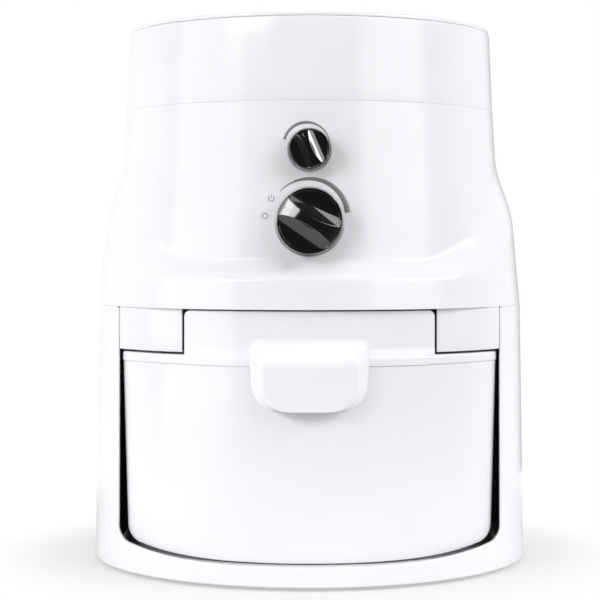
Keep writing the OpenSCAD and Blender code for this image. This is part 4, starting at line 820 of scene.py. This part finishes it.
def knob_ring(name, node, d, z):
    """Silver ring round a knob's foot, turned from a rounded outline about -Y; the grey crescent it shows
    under the knob is partly a real ring and partly a painted highlight of the knob's edge.
    """
    low, high, inner, outer = 0.2, LAND_DEPTH + 0.6, d / 2 - 1.45, d / 2 - 0.25
    ring = rectangle(inner, outer, low, high, [0.1, 0.1, 0.3, 0.3], 6)
    g = around(ring[:, :1], np.linspace(0, 360, 161)[:-1], ring[:, 1:])
    g = on_land(g[..., 0], g[..., 1], g[..., 2], z)
    # painted highlight, in part: the ring's silver stands for the bright line on the knob's edge
    Shell().grid(g, wrap_v=True).piece(name, "machine", "silver_trim", [node])


def ribbon(shell, x, z, turn_x, turn_z, half, thick=0.14):
    """Thin closed strip on the barrel: a path, its sideways direction and its half width."""
    sunk, low, high = -0.05, thick * 0.6, thick
    rows = []
    for k, out in ((1, sunk), (1, low), (0.86, high), (-0.86, high), (-1, low), (-1, sunk)):
        at = z + turn_z * half * k
        rows.append(on_front(x + turn_x * half * k, barrel_at(at) + out, at))
    shell.strip(np.stack(rows))


def dial_marks():
    """Tapered arcs over the knobs, and the off and standby signs beside the feed knob.

    An arc keeps its outer radius and runs down in angle from a0 to a1; its width goes in straight
    lines between the widths at its start, at its top and at its end. The standby sign is an open
    ring with a dash in its gap.
    """
    shell = Shell()
    for xc, zc, outer, a0, a1, widths in ((-2.0, 251.4, 13.9, 164.3, 9.7, (1.85, 1.5, 0.2)),
                                          (0.6, 210.2, 23.1, 139.8, 7.6, (0.3, 2.0, 3.4))):
        a = np.linspace(a1, a0, 97)
        w = np.interp(a, (a1, 90, a0), widths[::-1])
        a, mid = np.radians(a), outer - w / 2
        ribbon(shell, xc + mid * np.cos(a), zc + mid * np.sin(a), np.cos(a), np.sin(a), w / 2)
    (off_x, off_z), (standby_x, standby_z) = (-25.4, FEED_Z + 3.1), (-21.8, FEED_Z + 13.1)
    for x, z, r, gap in ((off_x, off_z, 1.62, 0), (standby_x, standby_z, 1.55, 36)):
        a = np.radians(np.linspace(90 + gap, 450 - gap, 61))
        ribbon(shell, x + r * np.cos(a), z + r * np.sin(a), np.cos(a), np.sin(a), 0.22)
    dash = standby_z + 0.3 + 1.9 * np.linspace(0, 1, 7)
    ribbon(shell, standby_x, dash, 1, 0, 0.2)
    shell.piece("dial_marks", "machine", "silver_trim")


def pointer(name, body, sizes, share, ring_r, gap=0):
    """Small light sign inlaid in a knob's bar: an open ring, or a short bowed dash if its radius is 0."""
    r, h, half = sizes["d"] / 2, knob_height(sizes["out"]), 0.17
    if ring_r:
        a = np.radians(np.linspace(gap, 360 - gap, 49)[::-1])
        x, y, side_x, side_y = ring_r * np.cos(a), ring_r * np.sin(a), np.cos(a), np.sin(a)
    else:
        k = np.linspace(-1, 1, 9)
        x, y, side_x, side_y = 0.5 * (k ** 2 - 0.5), 1.15 * k, 1, 0
    rows = []
    for k, out in ((1, -0.2), (1, 0.0), (0.8, 0.05), (-0.8, 0.05), (-1, 0.0), (-1, -0.2)):
        px, py = x + side_x * half * k, y + side_y * half * k + share * r
        top = bar_top(r, h, sizes["droop"], py, np.hypot(px, py) / (r * KNOB_FACE)) + out
        rows.append(on_land(px, py, top, sizes["z"], sizes["turn"]))
    g = np.stack(rows[::-1] if ring_r else rows)
    Shell().strip(g).piece(name, body, "silver_trim")


# ---------------------------------------------------------------- finishes, in metres
class Wire:
    """An output socket on which arithmetic adds Math nodes."""

    def __init__(self, graph, socket):
        self.graph, self.socket = graph, socket

    def math(self, operation, *others, clamp=False):
        """A Math node on this value and the others, in that order."""
        return self.graph.math(operation, self, *others, clamp=clamp)

    def __rsub__(self, other):
        return self.graph.math("SUBTRACT", other, self)

    __add__ = __radd__ = partialmethod(math, "ADD")
    __sub__ = partialmethod(math, "SUBTRACT")
    __mul__ = __rmul__ = partialmethod(math, "MULTIPLY")
    __truediv__ = partialmethod(math, "DIVIDE")
    __pow__ = partialmethod(math, "POWER")

    def eased(self, low, high):
        """0 below low, 1 above high, eased in between."""
        return self.graph.add("ShaderNodeMapRange", {"interpolation_type": "SMOOTHSTEP"},
                              {"Value": self, "From Min": low, "From Max": high})


class Graph:
    """Nodes of one material or world; place is its coordinate, in metres on a material."""

    def __init__(self, tree, place):
        self.tree = tree
        tree.nodes.clear()
        self.place = self.add("ShaderNodeTexCoord", out=place)

    def add(self, kind, settings=None, values=None, out=0):
        """A node with its settings first and its sockets' values or links after; gives an output."""
        node = self.tree.nodes.new(kind)
        for key, value in (settings or {}).items():
            setattr(node, key, value)
        for key, value in (values or {}).items():
            self.link(node.inputs[key], value)
        return Wire(self, node.outputs[out])

    def math(self, operation, *values, clamp=False):
        """A Math node on the values."""
        settings = {"operation": operation, "use_clamp": clamp}
        return self.add("ShaderNodeMath", settings, dict(enumerate(values)))

    def link(self, socket, value):
        """Links a wire to a socket, or sets the socket's value."""
        if isinstance(value, Wire):
            self.tree.links.new(value.socket, socket)
        else:
            socket.default_value = value

    def seen(self, *kinds):
        """1 for rays of the named kinds, such as Camera, and 0 for the others."""
        rays = self.tree.nodes.new("ShaderNodeLightPath")
        total = sum((Wire(self, rays.outputs[f"Is {kind} Ray"]) for kind in kinds), start=0.0)
        return total.math("ADD", 0.0, clamp=True)

    def parts(self):
        """The three coordinates of the place."""
        node = self.tree.nodes.new("ShaderNodeSeparateXYZ")
        self.link(node.inputs[0], self.place)
        return [Wire(self, out) for out in node.outputs]

    def noise(self, size, detail=2.0, stretch=(1, 1, 1), rough=0.5):
        """Noise from 0 to 1 whose features are about size metres across, longer where stretched."""
        scale = tuple(1 / k for k in stretch)
        at = self.add("ShaderNodeMapping", values={"Vector": self.place, "Scale": scale})
        values = {"Vector": at, "Scale": 1 / size, "Detail": detail, "Roughness": rough}
        return self.add("ShaderNodeTexNoise", values=values, out="Fac")

    def cells(self, size):
        """Distance from the middle of a cell, in cells about size metres across."""
        values = {"Vector": self.place, "Scale": 1 / size}
        return self.add("ShaderNodeTexVoronoi", values=values, out="Distance")

    def mix(self, share, first, second):
        """Colour between two colours or links."""
        node = self.tree.nodes.new("ShaderNodeMix")
        node.data_type = "RGBA"
        for key, value in ((0, share), (6, first), (7, second)):
            self.link(node.inputs[key], (*value, 1) if isinstance(value, tuple) else value)
        return Wire(self, node.outputs[2])


class Finish(Graph):
    """One procedural material of the mill."""

    def __init__(self, name, colour, **constants):
        self.material = bpy.data.materials.new(name)
        self.material.use_nodes = True
        self.material.diffuse_color = (*colour, 1)
        super().__init__(self.material.node_tree, "Object")
        self.shader = self.tree.nodes.new("ShaderNodeBsdfPrincipled")
        self.output = self.tree.nodes.new("ShaderNodeOutputMaterial")
        self.tree.links.new(self.shader.outputs[0], self.output.inputs[0])
        self.paint(**constants)

    def bump(self, height, distance):
        """Bump whose full height stands distance metres out."""
        return self.add("ShaderNodeBump", values={"Height": height, "Distance": distance})

    def paint(self, **sockets):
        """Sets or links the shader's sockets, named with _ for a space, and gives the material."""
        for key, value in sockets.items():
            self.link(self.shader.inputs[key.replace("_", " ")], value)
        return self.material


def shade(colour, k):
    """The colour made lighter or darker by the factor k."""
    return tuple(min(1.0, c * k) for c in colour)


def gloss_plastic(name, colour, rough=0.12, ripple=0.000012, dust=0.0, **gloss):
    """Moulded gloss plastic: faint mottling, flow ripple from the mould and fine surface scatter."""
    f = Finish(name, colour, IOR=1.5, **gloss)
    cloud, flow, fine = f.noise(0.07, 3), f.noise(0.022, 2, (1, 1, 1.8)), f.noise(0.0011, 3)
    scuff = f.noise(0.012, 5, (1, 1, 3), 0.65).eased(0.58, 0.78)
    tint = f.mix(cloud.eased(0.3, 0.7), shade(colour, 0.985), shade(colour, 1.01))
    if dust:
        tint = f.mix(scuff * dust, tint, shade(colour, 1.6))
    return f.paint(Base_Color=tint, Roughness=cloud * 0.03 + fine * 0.03 + scuff * 0.05 + (rough - 0.04),
                   Normal=f.bump(flow + fine * 0.1, ripple))


def satin_plastic(name, colour, rough=0.42):
    """Fine spark-eroded texture of inner mouldings."""
    f = Finish(name, colour, IOR=1.48)
    cloud, grain, speck = f.noise(0.03, 3), f.noise(0.0007, 3, rough=0.7), f.noise(0.004, 4)
    tint = f.mix(cloud, shade(colour, 0.95), shade(colour, 1.03))
    return f.paint(Base_Color=f.mix(speck.eased(0.66, 0.75) * 0.35, tint, shade(colour, 0.8)),
                   Roughness=grain * 0.14 + (rough - 0.07), Normal=f.bump(grain, 0.00005))


def soft_rubber(name, colour, rough=0.7):
    """Moulded rubber: matt, slightly bloomed, with a fine grain."""
    f = Finish(name, colour, IOR=1.45)
    bloom, grain = f.noise(0.009, 4), f.noise(0.0006, 2)
    return f.paint(Base_Color=f.mix(bloom.eased(0.4, 0.75), colour, shade(colour, 1.7)),
                   Roughness=bloom * 0.2 + (rough - 0.1), Normal=f.bump(grain, 0.00006))


def metal(name, colour, rough=0.3, stretch=(6, 1, 1), lines=0.00035, relief=0.00001, stain=0.0):
    """Machined or rolled metal: lines of the tool, a cloudy lustre and, where wanted, stains."""
    f = Finish(name, colour, Metallic=1.0)
    brushed, cloud = f.noise(lines, 3, stretch), f.noise(0.015, 3)
    tint = f.mix(cloud, shade(colour, 0.9), shade(colour, 1.05))
    if stain:
        tint = f.mix(f.noise(0.006, 5).eased(0.55, 0.7) * stain, tint, shade(colour, 0.55))
    return f.paint(Base_Color=tint, Roughness=cloud * 0.1 + brushed * 0.14 + (rough - 0.12),
                   Normal=f.bump(brushed, relief))


def layered(name, colour, pitch, rough=0.45, depth=0.00012):
    """Stack of stamped sheets: dark joints between sheets along Z."""
    f = Finish(name, colour, Metallic=0.9)
    from_middle = ((f.parts()[2] / pitch).math("FRACT") - 0.5).math("ABSOLUTE")
    joint, cloud = 1 - from_middle.eased(0.32, 0.5), f.noise(0.004, 4)
    tint = f.mix(joint, shade(colour, 0.45), f.mix(cloud, shade(colour, 0.85), shade(colour, 1.1)))
    return f.paint(Base_Color=tint, Roughness=cloud * 0.2 + (rough - 0.1), Normal=f.bump(joint, depth))


def wound_copper(name, colour, wire=0.0007):
    """Enamelled wire laid side by side round the core, with a lacquer gloss and painted shade in the
    grooves between turns.
    """
    f = Finish(name, colour, Metallic=0.85, Coat_Roughness=0.12, Coat_Weight=0.5)
    x, y, z = f.parts()
    far = ((x * x + y * y) ** 0.5 + z * 0.35 + f.noise(0.01, 2) * 0.0012) / wire
    ridge = (far * (2 * pi)).math("SINE") * 0.5 + 0.5
    lacquer = f.mix(f.noise(0.008, 3), shade(colour, 0.85), shade(colour, 1.15))
    # painted shade: the colour drops to half in the grooves between the turns
    tint = f.mix(ridge, shade(colour, 0.5), lacquer)
    return f.paint(Base_Color=tint, Roughness=0.42 - ridge * 0.14, Normal=f.bump(ridge, 0.00018))


def open_foam(name, colour):
    """Open-cell foam: round cells with thin walls, with painted shade in the cells' hollows and the walls
    painted lighter.
    """
    f = Finish(name, colour)
    hole = f.cells(0.0011).eased(0.15, 0.5)
    # painted shade: each cell's middle is painted dark and its walls light
    return f.paint(Base_Color=f.mix(hole, shade(colour, 0.35), shade(colour, 1.3)),
                   Roughness=hole * 0.1 + 0.82, Normal=f.bump(hole, 0.0005))


def circuit_board(name, colour, pitch=0.0024):
    """Lacquered board: winding tracks a shade lighter, in patches, and solder pads."""
    f = Finish(name, colour, Coat_Weight=0.4, Coat_Roughness=0.1)
    across = ((f.parts()[0] + f.noise(0.009, 1) * 0.006) / pitch).math("FRACT")
    line = across.eased(0.35, 0.42) * (1 - across.eased(0.6, 0.67))
    tracks = line * f.noise(0.012, 1).eased(0.48, 0.5)
    pad = 1 - f.cells(0.006).eased(0.1, 0.16)
    tint = f.mix(pad, f.mix(tracks, colour, shade(colour, 1.7)), (0.62, 0.6, 0.55))
    return f.paint(Base_Color=tint, Roughness=0.4 - tracks * 0.1 - pad * 0.1,
                   Normal=f.bump(tracks + pad, 0.00004))


def pressed_carbon(name, colour):
    """Pressed carbon: matt with bright flecks of graphite."""
    f = Finish(name, colour, Metallic=0.2)
    fleck, grain = f.noise(0.0012, 4).eased(0.6, 0.72), f.noise(0.0004, 3)
    return f.paint(Base_Color=f.mix(fleck, colour, shade(colour, 3)),
                   Roughness=0.62 - fleck * 0.2 + grain * 0.1, Normal=f.bump(grain, 0.00004))


def trim_silver(name, colour):
    """Satin silver lacquer: fine metal flake under a thin coat."""
    f = Finish(name, colour, Coat_Weight=0.3, Coat_Roughness=0.15)
    flake, cloud = f.noise(0.00022, 2), f.noise(0.01, 2)
    return f.paint(Base_Color=f.mix(flake.eased(0.4, 0.62), shade(colour, 0.92), shade(colour, 1.06)),
                   Metallic=flake * 0.1 + 0.35, Roughness=cloud * 0.08 + flake * 0.08 + 0.3,
                   Normal=f.bump(flake, 0.000008))


# ---------------------------------------------------------------- the mill
FINISH = {
    "white_plastic": gloss_plastic("gloss_white", (0.915, 0.91, 0.94), rough=0.16, Specular_IOR_Level=0.35),
    "black_plastic": gloss_plastic("gloss_black", (0.004, 0.004, 0.005), rough=0.13, ripple=0.000006,
                                   dust=0.25, Coat_Weight=1.0, Coat_Roughness=0.06, Coat_IOR=1.6),
    "silver_trim": trim_silver("silver_grey", (0.3, 0.3, 0.31)),
    "inner_plastic": satin_plastic("satin_white", (0.8, 0.8, 0.82)),
    "gear_plastic": satin_plastic("natural_nylon", (0.78, 0.72, 0.52), rough=0.38),
    "rubber": soft_rubber("black_rubber", (0.02, 0.02, 0.02)),
    "seal_rubber": soft_rubber("grey_silicone", (0.4, 0.4, 0.41), rough=0.55),
    "foam": open_foam("filter_foam", (0.05, 0.05, 0.055)),
    "steel": metal("turned_steel", (0.62, 0.63, 0.65)),
    "zinc_steel": metal("zinc_plate", (0.66, 0.67, 0.69), rough=0.36, stretch=(1, 1, 1), lines=0.0012,
                        stain=0.25),
    "aluminium": metal("cast_aluminium", (0.66, 0.67, 0.69), rough=0.46, stretch=(1, 1, 1), lines=0.0009,
                       relief=0.00006),
    "lamination": layered("varnished_sheets", (0.2, 0.2, 0.22), 0.0005),
    "copper": wound_copper("enamelled_copper", (0.72, 0.32, 0.14)),
    "brass": metal("plain_brass", (0.74, 0.55, 0.24), rough=0.34, stain=0.15),
    "carbon": pressed_carbon("pressed_carbon", (0.03, 0.03, 0.032)),
    "board": circuit_board("green_board", (0.02, 0.12, 0.05)),
}
for row in frame["record"]["subparts"]:
    for held in frame["nodes"][row["node"]].material_slots:
        held.link = "OBJECT"
        held.material = FINISH[row["material_slot"]]

for make in (base_housing, shoulder_fronts, upper_housing, hopper, hopper_lid, flour_bowl, bowl_lid_body,
             bowl_lid_front):
    make()
knob("feed_knob_dressed", "feed_control", "feed_knob", **FEED_KNOB)
knob("speed_knob_dressed", "speed_control", "speed_knob", **SPEED_KNOB)
knob_ring("feed_ring_dressed", "feed_knob_ring", FEED_KNOB["d"], FEED_Z)
knob_ring("speed_ring_dressed", "speed_knob_ring", SPEED_KNOB["d"], SPEED_Z)
dial_marks()
pointer("feed_pointer", "feed_control", FEED_KNOB, share=0.76, ring_r=1.5, gap=38)
pointer("speed_pointer", "speed_control", SPEED_KNOB, share=0.72, ring_r=0)
bevelled_copy("bowl_deck", "white_plastic", 0.5)
bevelled_copy("rear_grille", "white_plastic", 0.35)


# ---------------------------------------------------------------- floor, light and camera, in metres
def linked(name, data):
    """A new object of the scene."""
    obj = bpy.data.objects.new(name, data)
    bpy.context.scene.collection.objects.link(obj)
    return obj


def table_top(radius):
    """Round pale table: a soft shadow stays on it and it fades to the white of the backdrop."""
    rim = around(radius, np.arange(0, 360, 3), 0.0)
    mesh = bpy.data.meshes.new("table_top")
    mesh.from_pydata(rim.tolist(), [], [tuple(range(len(rim)))])
    f = Finish("pale_table", (0.78, 0.78, 0.78), Roughness=0.9)
    f.paint(Base_Color=f.mix(f.noise(0.3, 2), (0.77, 0.77, 0.77), (0.8, 0.8, 0.8)))
    glow = f.add("ShaderNodeEmission", values={"Color": (1, 1, 1, 1), "Strength": 1.0})
    far = f.add("ShaderNodeVectorMath", {"operation": "LENGTH"}, {0: f.place}, out="Value")
    behind = f.parts()[1].eased(0.15, 0.4)
    share = f.seen("Camera") * (0.5 + 0.5 * far.eased(0.134, 0.21))
    share = share + f.seen("Glossy", "Transmission") * behind
    shader = Wire(f, f.shader.outputs[0])
    f.link(f.output.inputs[0], f.add("ShaderNodeMixShader", values={0: share, 1: shader, 2: glow}))
    mesh.materials.append(f.material)
    obj = linked("table_top", mesh)


def backdrop(rear, side, front, edge):
    """World: white where the camera sees it; as light, bright behind the mill and dim in front.

    h = y / sqrt(x^2 + y^2) is -1 in front of the mill and 1 behind it, and z is 1 overhead. The
    level eases from front to side to rear with h, and from rear to side towards the zenith. The
    edge level lies behind the mill's right side.
    """
    world = bpy.context.scene.world or bpy.data.worlds.new("studio")
    bpy.context.scene.world = world
    world.use_nodes = True
    g = Graph(world.node_tree, "Generated")
    x, y, z = g.parts()
    flat = (x * x + y * y + 0.0001) ** 0.5
    h, low = y / flat, 1 - z.eased(0.55, 0.9)
    level = (side + (rear - side) * h.eased(-0.1, 0.35) * low
             - (side - front) * (0 - h).eased(0.55, 0.85) * low
             - (rear - edge) * h.eased(0.8, 0.97) * (x / flat).eased(0.0, 0.1) * low)
    light = g.add("ShaderNodeBackground", values={"Color": (0.98, 0.985, 1, 1), "Strength": level})
    plain = g.add("ShaderNodeBackground", values={"Color": (1, 1, 1, 1), "Strength": 1.0})
    out = g.tree.nodes.new("ShaderNodeOutputWorld")
    share = g.seen("Camera", "Transmission")
    g.link(out.inputs[0], g.add("ShaderNodeMixShader", values={0: share, 1: light, 2: plain}))


def soft_light(name, turn, height, far, size, glow):
    """Soft lamp aimed at the mill: turn is its angle from the front towards +X, glow its radiance."""
    lamp = bpy.data.lights.new(name, "AREA")
    lamp.shape, lamp.size, lamp.size_y = "RECTANGLE", *size
    lamp.energy = glow * pi * size[0] * size[1]
    obj = linked(name, lamp)
    obj.location = (far * sin(radians(turn)), -far * cos(radians(turn)), height)
    obj.rotation_euler = (Vector((0, 0, 0.2)) - obj.location).to_track_quat("-Z", "Y").to_euler()
    obj.visible_camera = False


def portrait(distance, height, focal, shift, frame_size=600, sensor=36.0):
    """Level camera on the mill's axis; focal length and shift are in pixels of the square frame."""
    lens = bpy.data.cameras.new("portrait")
    lens.sensor_width, lens.lens, lens.clip_start = sensor, sensor * focal / frame_size, 0.05
    lens.shift_x, lens.shift_y = (k / frame_size for k in shift)
    camera = linked("portrait", lens)
    camera.location, camera.rotation_euler = (0.0, -distance, height), (radians(90), 0, 0)
    bpy.context.scene.camera = camera


table_top(0.5)
backdrop(rear=0.95, side=0.13, front=0.06, edge=0.3)
soft_light("left_window", -62, 0.62, 1.75, (1.5, 1.6), 2.3)
soft_light("right_window", 52, 1.0, 1.75, (1.5, 1.4), 3.0)
soft_light("top_window", 0, 1.7, 0.5, (0.9, 0.9), 1.5)
soft_light("key_card", -37, 0.835, 1.575, (0.8, 0.4), 7)
soft_light("side_card", 77, 1.13, 1.71, (0.9, 0.27), 10)
portrait(distance=1.155, height=0.1917, focal=1822, shift=(-9.5, -50))
bpy.context.scene.view_settings.view_transform = "Standard"
